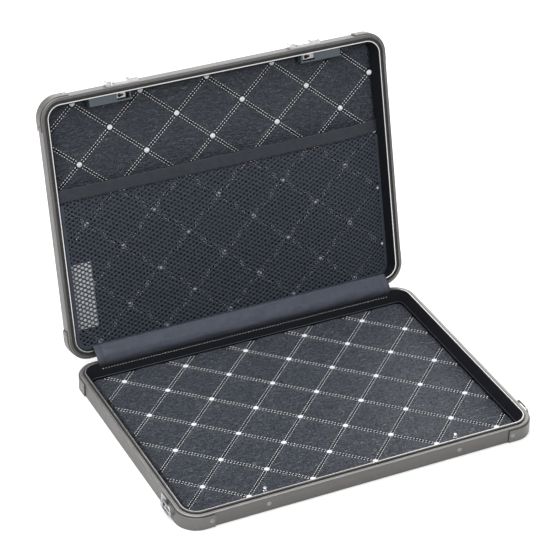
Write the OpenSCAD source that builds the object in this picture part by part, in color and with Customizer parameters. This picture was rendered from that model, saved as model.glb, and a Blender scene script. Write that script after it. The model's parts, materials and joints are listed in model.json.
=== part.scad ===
// Slim laptop case: two shallow halves framed in aluminium rails, joined by a long
// hinge at the back and held shut by two sliding catches in the lid's front rail.
// The origin is the centre of the underside, +Z is up and the front faces -Y. The
// case stands open. Lid pieces are drawn shut, in "lid height": 0 at the lid's rim
// and growing towards its outer panel. place_lid() then swings them open.

/* [Case] */
// Width of the shut case, left to right
case_w = 390; // [360:1:430]
// Depth of the shut case, front to back
case_d = 280; // [262:1:310]
// Height of the base rails
base_h = 16.5; // [16:0.5:24]
// Height of the lid rails
lid_h = 13.5; // [13.5:0.5:20]
// Outer radius of the four corners, seen from above
corner_r = 22; // [18:1:28]
// Angle from the shut lid to the open lid
open_angle = 105; // [98:1:110]
// Gap between the two rims when the case is shut
rim_gap = 0.3; // [0.2:0.1:0.5]
// Gap that soft pieces keep from whatever moves past them
soft_gap = 0.3; // [0.2:0.05:0.5]

/* [Rails] */
// Thickness of the rail walls
wall = 1.6; // [1.2:0.1:2]
// Rounding of the rails' outer edges
edge_r = 0.8; // [0.4:0.1:1.2]
// Thickness of the solid rim bar on the base rails
rim_t = 3.5; // [3:0.1:4]
// Inset of the base tongue from the outer face
tongue_in = 4.2; // [3.9:0.1:4.4]
// Width of the base tongue
tongue_w = 2.1; // [1.6:0.1:2.2]
// Height of the base tongue above its rim
tongue_h = 1.6; // [1.2:0.1:1.9]
// Width and depth of the shadow line outside the tongue
shadow_w = 0.8; // [0.4:0.1:1]
// How far the lid's seal reaches outside the tongue
seal_lap = 1; // [0.6:0.1:1.4]
// Depth of the lid groove that holds the seal
groove_d = 3.4; // [3.2:0.1:3.8]
// Thickness of the groove floor
groove_floor = 1.2; // [1:0.1:1.3]
// Width of the lid's inner lip
inner_lip = 1.1; // [0.8:0.1:1.2]
// Side play between the tongue and the inner lip
tongue_play = 0.3; // [0.2:0.05:0.4]

/* [Panels] */
// Reach of the rail flange under the inner board
flange = 13; // [12:0.5:14]
// Width of the flange's lap over the outer panel
lap_w = 4; // [3:0.5:5]
// Thickness of the outer panels
panel_t = 1.2; // [1:0.1:1.5]
// Thickness of the inner boards, and of the lap beside them
board_t = 1.2; // [1:0.1:1.5]
// Gap round the edge of each panel and board
panel_gap = 0.1; // [0.05:0.05:0.3]

/* [Corner guards] */
// Thickness of the corner guards
guard_t = 1.2; // [0.8:0.1:1.6]
// Reach of each guard arm from the case's outer face
guard_reach = 32.5; // [31:0.5:36]
// Distance from a guard's edge to the rim
guard_drop = 2; // [1.6:0.1:3]
// Distance from an arm's end to its rivet
guard_rivet_in = 4; // [3.5:0.1:5]
// Height of the rivets in the base guards
guard_rivet_z = 8; // [7:0.1:8.5]
// Lid height of the rivets in the lid guards
guard_rivet_h = 7.6; // [7.2:0.1:8]

/* [Rivets] */
// Radius of a rivet's shank
rivet_r = 1.2; // [0.9:0.05:1.4]
// Radius of a rivet's domed head
rivet_head_r = 2.6; // [2:0.1:2.8]
// Height of a rivet's domed head
rivet_head_h = 1.2; // [0.8:0.1:1.4]
// Radius of a rivet's flat tail
rivet_tail_r = 1.9; // [1.6:0.1:2.1]
// Height of a rivet's flat tail
rivet_tail_h = 0.8; // [0.6:0.1:0.9]
// Play between a rivet or pin and its hole
pin_play = 0.05; // [0.03:0.01:0.08]

/* [Hinge] */
// Distance from each end of the case to the hinge
hinge_end = 45; // [40:1:55]
// Number of knuckles, shared by the two leaves
knuckles = 15; // [11:2:19]
// Outer radius of the knuckles
knuckle_r = 2.5; // [2.3:0.1:2.8]
// Gap between neighbouring knuckles
knuckle_gap = 0.3; // [0.2:0.05:0.5]
// Radius of the hinge pin
hinge_pin_r = 1; // [0.8:0.05:1.2]
// Thickness of the hinge leaves
leaf_t = 1; // [0.8:0.05:1.1]
// Height of each leaf from the pin's axis
leaf_h = 10.4; // [9.8:0.1:10.8]
// Distance from the pin's axis to the leaf rivets
leaf_rivet_h = 7.4; // [7.2:0.1:7.8]
// Number of rivets in each leaf
leaf_rivets = 8; // [4:2:10]
// Radius of a leaf rivet's head
leaf_head_r = 1.9; // [1.7:0.1:2.2]
// Height of a leaf rivet's head
leaf_head_h = 0.7; // [0.5:0.1:0.9]
// Width of each lid stop
stop_w = 12; // [8:1:16]
// Distance of the lid stops from the middle knuckle, in knuckles
stop_at = 4; // [2:2:6]
// Length of a lid stop from the pin's axis
stop_l = 6.2; // [5:0.1:6.4]
// Thickness of a lid stop
stop_t = 2.2; // [1.8:0.1:2.4]

/* [Keepers] */
// Distance from a catch's middle to its keeper stud, away from the case's middle
keeper_shift = 2; // [1:0.1:3.5]
// Inset of a keeper stud from the front face
keeper_in = 10.5; // [10.3:0.05:10.6]
// Radius of the stud's round head
stud_head_r = 1.9; // [1.7:0.05:2]
// Radius of the stud's neck
stud_neck_r = 1; // [0.8:0.05:1.1]
// Radius of the stud's body
stud_body_r = 1.8; // [1.6:0.05:2]
// Height of the stud's head
stud_head_h = 1.5; // [1.2:0.1:1.6]
// Width of a keeper bracket
keeper_w = 11; // [9:0.5:12]
// Thickness of a keeper bracket
keeper_t = 1.2; // [1:0.1:1.4]
// Height of the keeper's rivet above the underside
keeper_rivet_z = 8.5; // [7.5:0.1:9]

/* [Catches] */
// Distance from each end of the case to the middle of its catch
catch_end = 91.5; // [88:0.5:96]
// Travel of the thumb slide
catch_travel = 3.2; // [2.9:0.1:3.4]
// Running gap between the slide and the fixed pieces
slide_gap = 0.3; // [0.2:0.05:0.4]
// Lid height of the lower edge of a catch plate
catch_h0 = 2; // [1.8:0.1:2.2]
// Lid height of the upper edge of a catch plate
catch_h1 = 11.4; // [11:0.1:11.6]
// Length of a catch, thumb included
catch_l = 34.6; // [34:0.1:35.4]
// Length of the thumb piece
thumb_l = 5.3; // [4.8:0.1:5.6]
// How far the thumb piece stands out from the rail
thumb_out = 5.5; // [4.5:0.1:6]
// How far the fixed hump stands out from the rail
hump_out = 5.3; // [4.5:0.1:6]
// Length of the fixed hump
hump_l = 10.3; // [9.5:0.1:11]
// How far the low part stands out from the rail
low_out = 3.3; // [3:0.1:3.6]
// Thickness of the catch's base plate
catch_plate_t = 1; // [0.8:0.05:1.2]
// Thickness of the slide bar
bar_t = 1.2; // [1:0.1:1.4]
// Lid height of the keyhole plate's near face
key_h = 1.9; // [1.8:0.05:2]
// Thickness of the keyhole plate
key_t = 0.8; // [0.7:0.05:0.9]
// Play round the stud's head in the keyhole
key_play = 0.3; // [0.2:0.05:0.4]
// Height of the raised rim round the keyhole
key_rim = 0.4; // [0.3:0.05:0.45]
// Width of the raised rim round the keyhole
key_land = 0.7; // [0.5:0.05:0.8]
// Radius of the pins that hold the catch to the rail
catch_pin_r = 1; // [0.8:0.05:1.1]
// Outer radius of the return spring
spring_r = 2; // [1.8:0.05:2.1]
// Wire radius of the return spring
spring_wire_r = 0.3; // [0.2:0.05:0.35]
// Length of the return spring
spring_l = 15; // [14:0.5:15]
// Number of turns in the return spring
spring_turns = 6; // [4:1:7]

/* [Catch covers] */
// Distance from a catch's middle to its cover's near end
cover_near = 7; // [6.5:0.5:8.5]
// Distance from a catch's middle to its cover's far end
cover_far = 38.5; // [35.5:0.5:41.5]
// Width of a cover, front to back
cover_d = 8.7; // [8:0.1:9.2]
// Lid height of a cover's face
cover_h = 0.7; // [0.6:0.05:0.8]
// Thickness of a cover
cover_t = 0.8; // [0.6:0.05:0.8]
// Length of a cover's window
window_l = 14; // [13:0.5:14]

/* [Carry rings] */
// Distance of a ring's pivot from the middle of the case, towards the front
ring_y = 97; // [95:0.5:100]
// Height of a ring's middle above the underside
ring_z = 9; // [8.4:0.1:9.2]
// Distance from the case's side to a ring's pivot
ring_out = 4; // [3.8:0.1:4.6]
// Length of a ring from its pivot to its far end
ring_l = 20; // [18:0.5:22]
// Outer width of a ring
ring_w = 12; // [11:0.5:13]
// Radius of a ring's wire
ring_wire_r = 1; // [0.8:0.05:1.1]
// Bend radius of a ring's square corners
ring_bend = 1.5; // [1.3:0.1:1.8]
// Length of the bracket barrel
barrel_l = 6; // [4:0.5:6]
// Radius of the bracket barrel
barrel_r = 2; // [1.8:0.1:2.3]
// Thickness of the bracket plate
bracket_t = 1; // [0.8:0.1:1.2]
// Length of the bracket plate behind the pivot
bracket_l = 9.5; // [9:0.5:11]
// Radius of the bracket's large rivet head
knob_r = 3.5; // [3:0.1:3.8]

/* [Padding] */
// Inset of the base cushion from the outer face
base_pad_in = 12.6; // [12.4:0.1:13.5]
// Inset of the lid cushion from the outer face
lid_pad_in = 8.8; // [8.8:0.1:9.4]
// Thickness of the base cushion at a tuft
base_pad_low = 3.5; // [2:0.1:4]
// Thickness of the base cushion between tufts
base_pad_high = 5.4; // [4.5:0.1:6]
// Thickness of the lid cushion at a tuft
lid_pad_low = 1.1; // [0.8:0.1:1.4]
// Thickness of the lid cushion between tufts
lid_pad_high = 3; // [2.4:0.1:3]
// Thickness of the cushions at their edges
pad_edge = 0.8; // [0.6:0.1:1]
// Width over which a cushion's edge is drawn in
pad_draw = 6; // [5:0.5:8]
// Radius of a tuft
tuft_r = 2.7; // [2:0.1:2.7]
// Height of a tuft's dome
tuft_h = 1.1; // [0.8:0.1:1.4]
// Height of a tuft's rim above the seams that cross under it
tuft_gap = 0.5; // [0.4:0.05:0.6]
// Spacing of the base tufts' columns
base_col = 34.7; // [32:0.1:35.5]
// Spacing of the base tufts' rows
base_row = 32.3; // [30:0.1:33]
// Distance from the left face to the first column in the base
base_col_in = 43.1; // [40:0.1:46]
// Distance from the back face to the first row in the base
base_row_in = 33.3; // [32:0.1:36]
// Spacing of the lid tufts' columns
lid_col = 37.3; // [34:0.1:37.4]
// Distance from the left face to the first column in the lid
lid_col_in = 37.7; // [36:0.1:38.5]
// Distance from the back and front faces to the outer rows in the lid
lid_row_in = 11.6; // [11.5:0.1:13]
// Thickness of the lining round the inside of the rails
liner_t = 0.7; // [0.5:0.05:0.9]

/* [Pocket] */
// Lid height of the net's near face
net_h = 1.6; // [1.5:0.1:1.8]
// Thickness of the net
net_t = 0.8; // [0.6:0.1:0.9]
// Distance from the back face to the lower edge of the elastic band
band_v = 171; // [160:1:180]
// Width of the elastic band
band_w = 13; // [10:0.5:15]
// Thickness of the elastic band
band_t = 1.2; // [1:0.1:1.4]
// Columns of gaps in the net
net_cols = 15; // [9:1:16]
// Rows of gaps in the net
net_rows = 9; // [5:2:11]
// Width of the net's threads
net_thread = 2.4; // [1.6:0.1:2.8]
// Width of the blank card
card_w = 25; // [20:1:30]
// Length of the blank card
card_l = 71; // [60:1:80]
// Thickness of the blank card
card_t = 0.4; // [0.3:0.1:0.5]
// Distance from the case's left face to the card
card_side = 12; // [11:0.5:20]
// Distance from the back face to the card
card_back = 30; // [20:1:60]

/* [Hinge cover] */
// Distance from the case's left face to the cloth cover inside the hinge
hinge_cover_left = 25; // [20:1:35]
// Distance from the case's right face to the cloth cover
hinge_cover_right = 22; // [20:1:35]
// Thickness of the cloth cover
hinge_cover_t = 0.8; // [0.6:0.1:0.9]

/* [Hidden] */
$fn = 64;
half_w = case_w/2;
half_d = case_d/2;
tongue_out = tongue_in + tongue_w;
lip_in = tongue_out + tongue_play;
lip_end = lip_in + inner_lip;
lid_block = groove_d + groove_floor;
floor_t = panel_t + board_t;
panel_in = flange - lap_w;
lid_floor = lid_h - floor_t;
seal_h = tongue_h - rim_gap + soft_gap;
axis_y = half_d + knuckle_r;
axis_z = base_h + rim_gap/2;
hinge_w = case_w - 2*hinge_end;
knuckle_l = hinge_w/knuckles;
guard_cham = 0.35;
eps = 0.01;

// Catch layout. The two catches are alike, and only their arms are mirrored.
catch_x = half_w - catch_end;
keeper_x = catch_x + keeper_shift;
cover_x0 = catch_x - cover_near;
cover_x1 = catch_x + cover_far;
bar_in = wall + 1.4;
bar_h0 = 8.4;
bar_h1 = lid_floor - 0.5;
stem_w = 3;
pin_h = 6.4;
pin_at = [-5, 9];
arm_in = lip_end + slide_gap;
arm_w = 4;
arm_x = keeper_x + 9.5;
key_hole_r = stud_head_r + key_play;
key_slot_r = stud_neck_r + key_play/1.5;
spring_in = bar_in + spring_r + 0.2;
spring_h = bar_h1 - spring_r - 0.2;
guide_t = 0.6;
cover_in = lip_end + slide_gap/2;
shelf_z = base_h - rim_t - keeper_t - 0.1;
stud_neck_z = base_h + rim_gap + key_h + key_t + 0.2;

// ---- shared shapes ----

// Points of an arc about [cx, cy], from angle a0 to a1
function arc(cx, cy, r, a0, a1, n) =
    [for (k = [0:n]) [cx + r*cos(a0 + (a1 - a0)*k/n), cy + r*sin(a0 + (a1 - a0)*k/n)]];

// Swings pieces drawn in lid height to where the open lid holds them
module place_lid() {
    translate([0, axis_y, axis_z]) rotate([-open_angle, 0, 0])
        translate([0, -axis_y, base_h + rim_gap - axis_z]) children();
}

// A profile of [inset, height] points carried round the case's rounded outline
module ring_sweep(profile) {
    for (side = [-1, 1]) {
        mirror([0, side > 0 ? 1 : 0, 0])
            translate([-(half_w - corner_r), -half_d, 0]) rotate([90, 0, 90])
                linear_extrude(case_w - 2*corner_r) polygon(profile);
        mirror([side > 0 ? 1 : 0, 0, 0])
            translate([-half_w, half_d - corner_r, 0]) rotate([90, 0, 0])
                linear_extrude(case_d - 2*corner_r) polygon(profile);
    }
    for (corner = [[1, 1, 0], [-1, 1, 90], [-1, -1, 180], [1, -1, 270]])
        translate([corner.x*(half_w - corner_r), corner.y*(half_d - corner_r), 0])
            rotate(corner.z) rotate_extrude(angle = 90)
                polygon([for (p = profile) [corner_r - p.x, p.y]]);
}

// A flat plate that follows the case's outline at one inset
module inset_plate(inset, t) {
    r = corner_r - inset;
    linear_extrude(t) {
        square([case_w - 2*corner_r, case_d - 2*inset], center = true);
        square([case_w - 2*inset, case_d - 2*corner_r], center = true);
        for (sx = [-1, 1], sy = [-1, 1])
            translate([sx*(half_w - corner_r), sy*(half_d - corner_r)]) circle(r);
    }
}

// A dome-headed rivet along Z: its head stands on z = 0 and its tail is under the grip
module rivet(grip, head_r = rivet_head_r, head_h = rivet_head_h, r = rivet_r) {
    ball = (head_r*head_r + head_h*head_h)/(2*head_h);
    rim = asin(min(head_r/ball, 1));
    tail = [[0, -grip - rivet_tail_h], [rivet_tail_r, -grip - rivet_tail_h],
            [rivet_tail_r, -grip], [r, -grip], [r, 0], [head_r, 0]];
    rotate_extrude()
        polygon(concat(tail, arc(0, head_h - ball, ball, 90 - rim*0.98, 90, 6)));
}

// Rivet places of the guards. Children stand on the rail's outer face, +Z outwards.
module at_guard_rivets(z, corners = [[-1, -1], [1, -1], [-1, 1], [1, 1]]) {
    reach = guard_reach - guard_rivet_in;
    for (c = corners) {
        translate([c.x*(half_w - reach), c.y*half_d, z]) rotate([-90*c.y, 0, 0]) children();
        translate([c.x*half_w, c.y*(half_d - reach), z]) rotate([0, 90*c.x, 0]) children();
    }
}

// A hole for a rivet or pin, along Z from the outer face through whatever it crosses
module rivet_hole(r = rivet_r) {
    translate([0, 0, -wall - 2]) cylinder(r = r + pin_play, h = wall + 6);
}

// Places along one leaf of the hinge, at a height, with +Z pointing backwards
module at_leaf_rivets(z) {
    step = hinge_w/leaf_rivets;
    for (k = [0:leaf_rivets - 1])
        translate([step*(k + 0.5) - hinge_w/2, half_d, z]) rotate([-90, 0, 0]) children();
}

// ---- rails ----

base_profile = [
    [edge_r, 0], [edge_r*0.3, edge_r*0.3], [0, edge_r],
    [0, base_h - edge_r], [edge_r*0.3, base_h - edge_r*0.3], [edge_r, base_h],
    [tongue_in - shadow_w, base_h], [tongue_in - shadow_w, base_h - shadow_w],
    [tongue_in, base_h - shadow_w], [tongue_in, base_h + tongue_h],
    [tongue_out, base_h + tongue_h], [tongue_out, base_h - rim_t], [wall, base_h - rim_t],
    [wall, floor_t], [flange, floor_t], [flange, panel_t], [panel_in, panel_t], [panel_in, 0]
];

module base_frame() {
    color("silver") difference() {
        ring_sweep(base_profile);
        at_guard_rivets(guard_rivet_z) rivet_hole();
        for (s = [-1, 1]) {
            translate([s*keeper_x, -half_d, keeper_rivet_z]) rotate([90, 0, 0]) rivet_hole();
            at_ring_rivet(s) rivet_hole();
        }
        at_leaf_rivets(axis_z - leaf_rivet_h) rivet_hole();
    }
}

lid_profile = [
    [0, edge_r], [edge_r*0.3, edge_r*0.3], [edge_r, 0], [tongue_in - seal_lap, 0],
    [tongue_in - seal_lap, groove_d], [lip_in, groove_d], [lip_in, 0], [lip_end, 0],
    [lip_end, lid_block], [wall, lid_block], [wall, lid_floor], [flange, lid_floor],
    [flange, lid_h - panel_t], [panel_in, lid_h - panel_t], [panel_in, lid_h],
    [edge_r, lid_h], [edge_r*0.3, lid_h - edge_r*0.3], [0, lid_h - edge_r]
];

module lid_frame() {
    color("silver") place_lid() difference() {
        ring_sweep(lid_profile);
        at_guard_rivets(guard_rivet_h) rivet_hole();
        at_leaf_rivets(leaf_rivet_h - rim_gap/2) rivet_hole();
        for (s = [-1, 1]) at_catch(s) {
            catch_pin_holes();
            stem_slot();
        }
    }
}

module lid_gasket() {
    w0 = tongue_in - seal_lap + 0.05;
    w1 = lip_in - 0.05;
    color("dimgray") place_lid()
        ring_sweep([[w0, seal_h], [w1, seal_h], [w1, groove_d], [w0, groove_d]]);
}

// ---- panels, boards and linings ----

module base_panel() {
    color("dimgray") inset_plate(panel_in + panel_gap, panel_t);
}

module base_board() {
    color("black") translate([0, 0, panel_t]) inset_plate(flange + panel_gap, board_t);
}

module lid_panel() {
    color("dimgray") place_lid()
        translate([0, 0, lid_h - panel_t]) inset_plate(panel_in + panel_gap, panel_t);
}

module lid_board() {
    color("black") place_lid()
        translate([0, 0, lid_floor]) inset_plate(flange + panel_gap, board_t);
}

// Foam-backed lining that slopes from the tongue down to the cushion
module base_liner() {
    w0 = tongue_out + 0.05;
    w1 = base_pad_in - soft_gap;
    low = floor_t + base_pad_high - 0.8;
    color("black") difference() {
        ring_sweep([[w0, floor_t + 0.05], [w0, base_h + rim_gap - soft_gap],
                    [w0 + liner_t, base_h + rim_gap - soft_gap],
                    [w1, low], [w1, floor_t + 0.05]]);
        for (s = [-1, 1])
            translate([s*keeper_x - keeper_w/2 - 0.5, -half_d + wall, floor_t - 1])
                cube([keeper_w + 1, flange, base_h]);
    }
}

// Thin lining inside the lid rails, cut away where the catches come through
module lid_liner() {
    w0 = lip_end + soft_gap/2;
    color("black") place_lid() difference() {
        ring_sweep([[w0, 0.7], [w0 + liner_t, 0.7],
                    [w0 + liner_t, lid_floor - 0.05], [w0, lid_floor - 0.05]]);
        for (s = [-1, 1])
            translate([min(s*cover_x0, s*cover_x1) - 0.4, -half_d + wall, -1])
                cube([cover_x1 - cover_x0 + 0.8, cover_in + cover_d, lid_h]);
    }
}

// ---- cushions ----

// How far a point lies inside a rounded rectangle
function edge_dist(x, y, w, d, r) =
    let (qx = abs(x) - (w/2 - r), qy = abs(y) - (d/2 - r))
    r - norm([max(qx, 0), max(qy, 0)]) - min(max(qx, qy), 0);

// Thickness of a cushion: puffed between the seams, which cross at every tuft
function pad_thick(x, y, w, d, r, lat, low, high) =
    let (u = (x - lat[0])/lat[2], v = (lat[1] - y)/lat[3],
         puff = pow(abs(sin(90*(u + v))*sin(90*(u - v))), 0.45),
         e = min(max(edge_dist(x, y, w, d, r), 0)/pad_draw, 1))
    pad_edge + (low + (high - low)*puff - pad_edge)*sqrt(1 - (1 - e)*(1 - e));

// Grid lines across a span: both edges, a line just inside each rounded corner's
// diagonal, and thirds of the seam spacing between them
function grid_lines(span, start, pitch, r) =
    let (step = pitch/3, near = r*0.35, keep = near + step/5,
         k0 = ceil((-span/2 + keep - start)/step), k1 = floor((span/2 - keep - start)/step))
    concat([-span/2, -span/2 + near], [for (k = [k0:k1]) start + k*step],
           [span/2 - near, span/2]);

// Pulls the grid's corner points in to the rounded corner
function round_in(x, y, w, d, r) =
    let (qx = abs(x) - (w/2 - r), qy = abs(y) - (d/2 - r), n = norm([qx, qy]))
    (qx > 0 && qy > 0 && n > r)
        ? [sign(x)*(w/2 - r + qx*r/n), sign(y)*(d/2 - r + qy*r/n)]
        : [x, y];

// lat holds the first tuft's x and y, then the spacing of columns and rows
module cushion(inset, lat, low, high) {
    w = case_w - 2*inset;
    d = case_d - 2*inset;
    r = corner_r - inset;
    xs = grid_lines(w, lat[0], lat[2], r);
    ys = grid_lines(d, lat[1], lat[3], r);
    nx = len(xs);
    ny = len(ys);
    flat = [for (y = ys, x = xs) round_in(x, y, w, d, r)];
    top = [for (p = flat) [p.x, p.y, pad_thick(p.x, p.y, w, d, r, lat, low, high)]];
    border = concat([for (i = [0:nx - 1]) i], [for (j = [1:ny - 1]) j*nx + nx - 1],
                    [for (i = [nx - 2:-1:0]) (ny - 1)*nx + i], [for (j = [ny - 2:-1:1]) j*nx]);
    nb = len(border);
    n = nx*ny;
    under = [for (b = border) [flat[b].x, flat[b].y, 0]];
    cells = [for (j = [0:ny - 2], i = [0:nx - 2])
        let (a = j*nx + i, b = a + 1, c = a + nx + 1, e = a + nx,
             m = (top[a] + top[c])/2,
             u = (m.x - lat[0])/lat[2], v = (lat[1] - m.y)/lat[3],
             s = (u + v)/2, t = (u - v)/2)
        abs(s - round(s)) < abs(t - round(t)) ? [[a, e, c], [a, c, b]] : [[a, e, b], [e, c, b]]];
    sides = [for (k = [0:nb - 1])
        let (k2 = (k + 1)%nb) each [[border[k], border[k2], n + k], [border[k2], n + k2, n + k]]];
    bottom = [for (k = [0:nb - 1]) [n + nb, n + k, n + (k + 1)%nb]];
    polyhedron(concat(top, under, [[0, 0, 0]]),
               concat([for (c = cells) each c], sides, bottom));
}

base_lat = [base_col_in - half_w, half_d - base_row_in, base_col, base_row];
base_rows = floor((case_d - base_row_in - base_pad_in - 5)/base_row);
base_cols = floor((case_w - base_col_in - base_pad_in - 5)/base_col);
lid_rows = 8;
lid_lat = [lid_col_in - half_w, half_d - lid_row_in, lid_col, (case_d - 2*lid_row_in)/lid_rows];
lid_cols = floor((case_w - lid_col_in - lid_pad_in - tuft_r - 1)/lid_col);

// True where a tuft would lie under a catch's cover
function under_cover(x, y) = y < -half_d + cover_in + cover_d + tuft_r
    && abs(x) > cover_x0 - tuft_r - 1 && abs(x) < cover_x1 + tuft_r + 1;

// One domed tuft at every crossing of the seams
module tufts(inset, lat, cols, rows, low, high) {
    w = case_w - 2*inset;
    d = case_d - 2*inset;
    for (j = [0:rows], i = [0:cols]) if ((i + j)%2 == 0) {
        x = lat[0] + i*lat[2];
        y = lat[1] - j*lat[3];
        if (!(lat == lid_lat && under_cover(x, y)))
            translate([x, y, pad_thick(x, y, w, d, corner_r - inset, lat, low, high) + tuft_gap])
                tuft();
    }
}

module tuft() {
    ball = (tuft_r*tuft_r + tuft_h*tuft_h)/(2*tuft_h);
    rim = asin(tuft_r/ball);
    rotate_extrude($fn = 24)
        polygon(concat([[0, 0]], arc(0, tuft_h - ball, ball, 90 - rim, 90, 5)));
}

module base_pad() {
    color("dimgray") translate([0, 0, floor_t + 0.05])
        cushion(base_pad_in, base_lat, base_pad_low, base_pad_high);
}

module base_tufts() {
    color("white") translate([0, 0, floor_t + 0.05])
        tufts(base_pad_in, base_lat, base_cols, base_rows, base_pad_low, base_pad_high);
}

// The lid cushion hangs from the lid's board, so its own up is towards the rim
module on_lid_floor() {
    place_lid() translate([0, 0, lid_floor - 0.05]) mirror([0, 0, 1]) children();
}

module lid_pad() {
    color("dimgray") on_lid_floor() difference() {
        cushion(lid_pad_in, lid_lat, lid_pad_low, lid_pad_high);
        for (s = [-1, 1])
            translate([min(s*cover_x0, s*cover_x1) - 0.5, -half_d, -1])
                cube([cover_x1 - cover_x0 + 1, cover_in + cover_d + 0.5, lid_pad_high + 2]);
    }
}

module lid_tufts() {
    color("white") on_lid_floor()
        tufts(lid_pad_in, lid_lat, lid_cols, lid_rows, lid_pad_low, lid_pad_high);
}

// ---- corner guards ----

module guard(c, z0, z1, rivet_z) {
    t = guard_t;
    k = guard_cham;
    arm = guard_reach - corner_r;
    side = [[0, z0], [-t + k, z0], [-t, z0 + k], [-t, z1 - k], [-t + k, z1], [0, z1]];
    color("gainsboro") difference() {
        mirror([c.x < 0 ? 1 : 0, 0, 0]) mirror([0, c.y < 0 ? 1 : 0, 0])
            translate([half_w - corner_r, half_d - corner_r, 0]) {
                rotate_extrude(angle = 90) polygon([for (p = side) [corner_r - p.x, p.y]]);
                translate([corner_r, 0, 0]) rotate([90, 0, 0])
                    linear_extrude(arm) polygon([for (p = side) [-p.x, p.y]]);
                translate([0, corner_r, 0]) rotate([90, 0, -90])
                    linear_extrude(arm) polygon([for (p = side) [p.x, p.y]]);
            }
        at_guard_rivets(rivet_z, [c]) rivet_hole();
    }
}

module base_guard(c) {
    guard(c, 0, base_h - guard_drop, guard_rivet_z);
}

module lid_guard(c) {
    place_lid() guard(c, guard_drop, lid_h, guard_rivet_h);
}

module base_guard_front_left() { base_guard([-1, -1]); }
module base_guard_front_right() { base_guard([1, -1]); }
module base_guard_rear_left() { base_guard([-1, 1]); }
module base_guard_rear_right() { base_guard([1, 1]); }
module lid_guard_front_left() { lid_guard([-1, -1]); }
module lid_guard_front_right() { lid_guard([1, -1]); }
module lid_guard_rear_left() { lid_guard([-1, 1]); }
module lid_guard_rear_right() { lid_guard([1, 1]); }

module base_guard_rivets() {
    color("lightgray") at_guard_rivets(guard_rivet_z)
        translate([0, 0, guard_t]) rivet(guard_t + wall);
}

module lid_guard_rivets() {
    color("lightgray") place_lid() at_guard_rivets(guard_rivet_h)
        translate([0, 0, guard_t]) rivet(guard_t + wall);
}

// ---- keepers on the base ----

// Folded bracket: a back leg on the rail wall and a shelf under the stud
module keeper_bracket(s) {
    z0 = keeper_rivet_z - rivet_tail_r - 1.6;
    reach = keeper_in + stud_body_r;
    color("lightgray") translate([s*keeper_x, -half_d, 0]) difference() {
        union() {
            translate([-keeper_w/2, wall, z0]) cube([keeper_w, keeper_t, shelf_z + keeper_t - z0]);
            translate([-keeper_w/2, wall, shelf_z]) cube([keeper_w, reach - wall, keeper_t]);
        }
        translate([0, 0, keeper_rivet_z]) rotate([90, 0, 0])
            translate([0, 0, -8]) cylinder(r = rivet_r + pin_play, h = 10);
        translate([0, keeper_in, shelf_z - 1])
            cylinder(r = stud_neck_r + pin_play, h = keeper_t + 2);
    }
}

module keeper_bracket_left() { keeper_bracket(-1); }
module keeper_bracket_right() { keeper_bracket(1); }

// Turned studs that the catches' keyholes slide over, peened under the shelf
module keeper_studs() {
    top = stud_neck_z + stud_head_h;
    shelf = shelf_z + keeper_t;
    collar = base_h + rim_gap + 0.8;
    cone = 0.5;
    color("gainsboro") for (s = [-1, 1])
        translate([s*keeper_x, -half_d + keeper_in, 0]) rotate_extrude()
            polygon([[0, shelf_z - 0.6], [stud_body_r - 0.2, shelf_z - 0.6],
                     [stud_body_r - 0.2, shelf_z], [stud_neck_r, shelf_z], [stud_neck_r, shelf],
                     [stud_body_r, shelf], [stud_body_r, collar], [stud_neck_r, collar + 0.4],
                     [stud_neck_r, stud_neck_z], [stud_head_r, stud_neck_z],
                     [stud_head_r, top - cone], [stud_head_r - cone, top], [0, top]]);
}

module keeper_rivets() {
    color("lightgray") for (s = [-1, 1])
        translate([s*keeper_x, -half_d, keeper_rivet_z]) rotate([90, 0, 0])
            rivet(wall + keeper_t);
}

// ---- hinge ----

// The knuckles of one leaf: every second one, from first, each with a strip to its leaf
module knuckle_row(first, z0, z1) {
    for (k = [first:2:knuckles - 1])
        translate([k*knuckle_l - hinge_w/2 + knuckle_gap/2, 0, 0]) {
            l = knuckle_l - knuckle_gap;
            translate([0, axis_y, 0]) rotate([0, 90, 0]) cylinder(r = knuckle_r, h = l);
            translate([0, half_d, z0]) cube([l, leaf_t, z1 - z0]);
        }
}

module pin_bore() {
    translate([-half_w, axis_y, 0]) rotate([0, 90, 0])
        cylinder(r = hinge_pin_r + pin_play, h = case_w);
}

// Height from the pin's axis at which a leaf clears the other leaf's knuckles
leaf_clear = knuckle_r + 0.3;

module base_hinge_leaf() {
    color("lightgray") difference() {
        translate([0, 0, axis_z]) difference() {
            union() {
                translate([-hinge_w/2, half_d, -leaf_h])
                    cube([hinge_w, leaf_t, leaf_h - leaf_clear]);
                knuckle_row(0, -leaf_clear - 0.5, 0);
            }
            pin_bore();
        }
        at_leaf_rivets(axis_z - leaf_rivet_h) rivet_hole();
    }
}

// The lid's leaf carries two stops that meet the base leaf when the lid is open
module lid_hinge_leaf() {
    color("lightgray") difference() {
        union() {
            place_lid() translate([0, 0, -rim_gap/2]) {
                translate([-hinge_w/2, half_d, leaf_clear])
                    cube([hinge_w, leaf_t, leaf_h - leaf_clear]);
                knuckle_row(1, 0, leaf_clear + 0.5);
            }
            for (s = [-1, 1])
                translate([s*stop_at*knuckle_l - stop_w/2, half_d + leaf_t + pin_play,
                           axis_z - stop_l])
                    cube([stop_w, stop_t, stop_l - hinge_pin_r - 0.3]);
        }
        translate([0, 0, axis_z]) pin_bore();
        place_lid() at_leaf_rivets(leaf_rivet_h - rim_gap/2) rivet_hole();
    }
}

module leaf_rivet_group() {
    translate([0, 0, leaf_t]) rivet(leaf_t + wall, leaf_head_r, leaf_head_h);
}

module base_hinge_rivets() {
    color("lightgray") at_leaf_rivets(axis_z - leaf_rivet_h) leaf_rivet_group();
}

module lid_hinge_rivets() {
    color("lightgray") place_lid() at_leaf_rivets(leaf_rivet_h - rim_gap/2) leaf_rivet_group();
}

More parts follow.
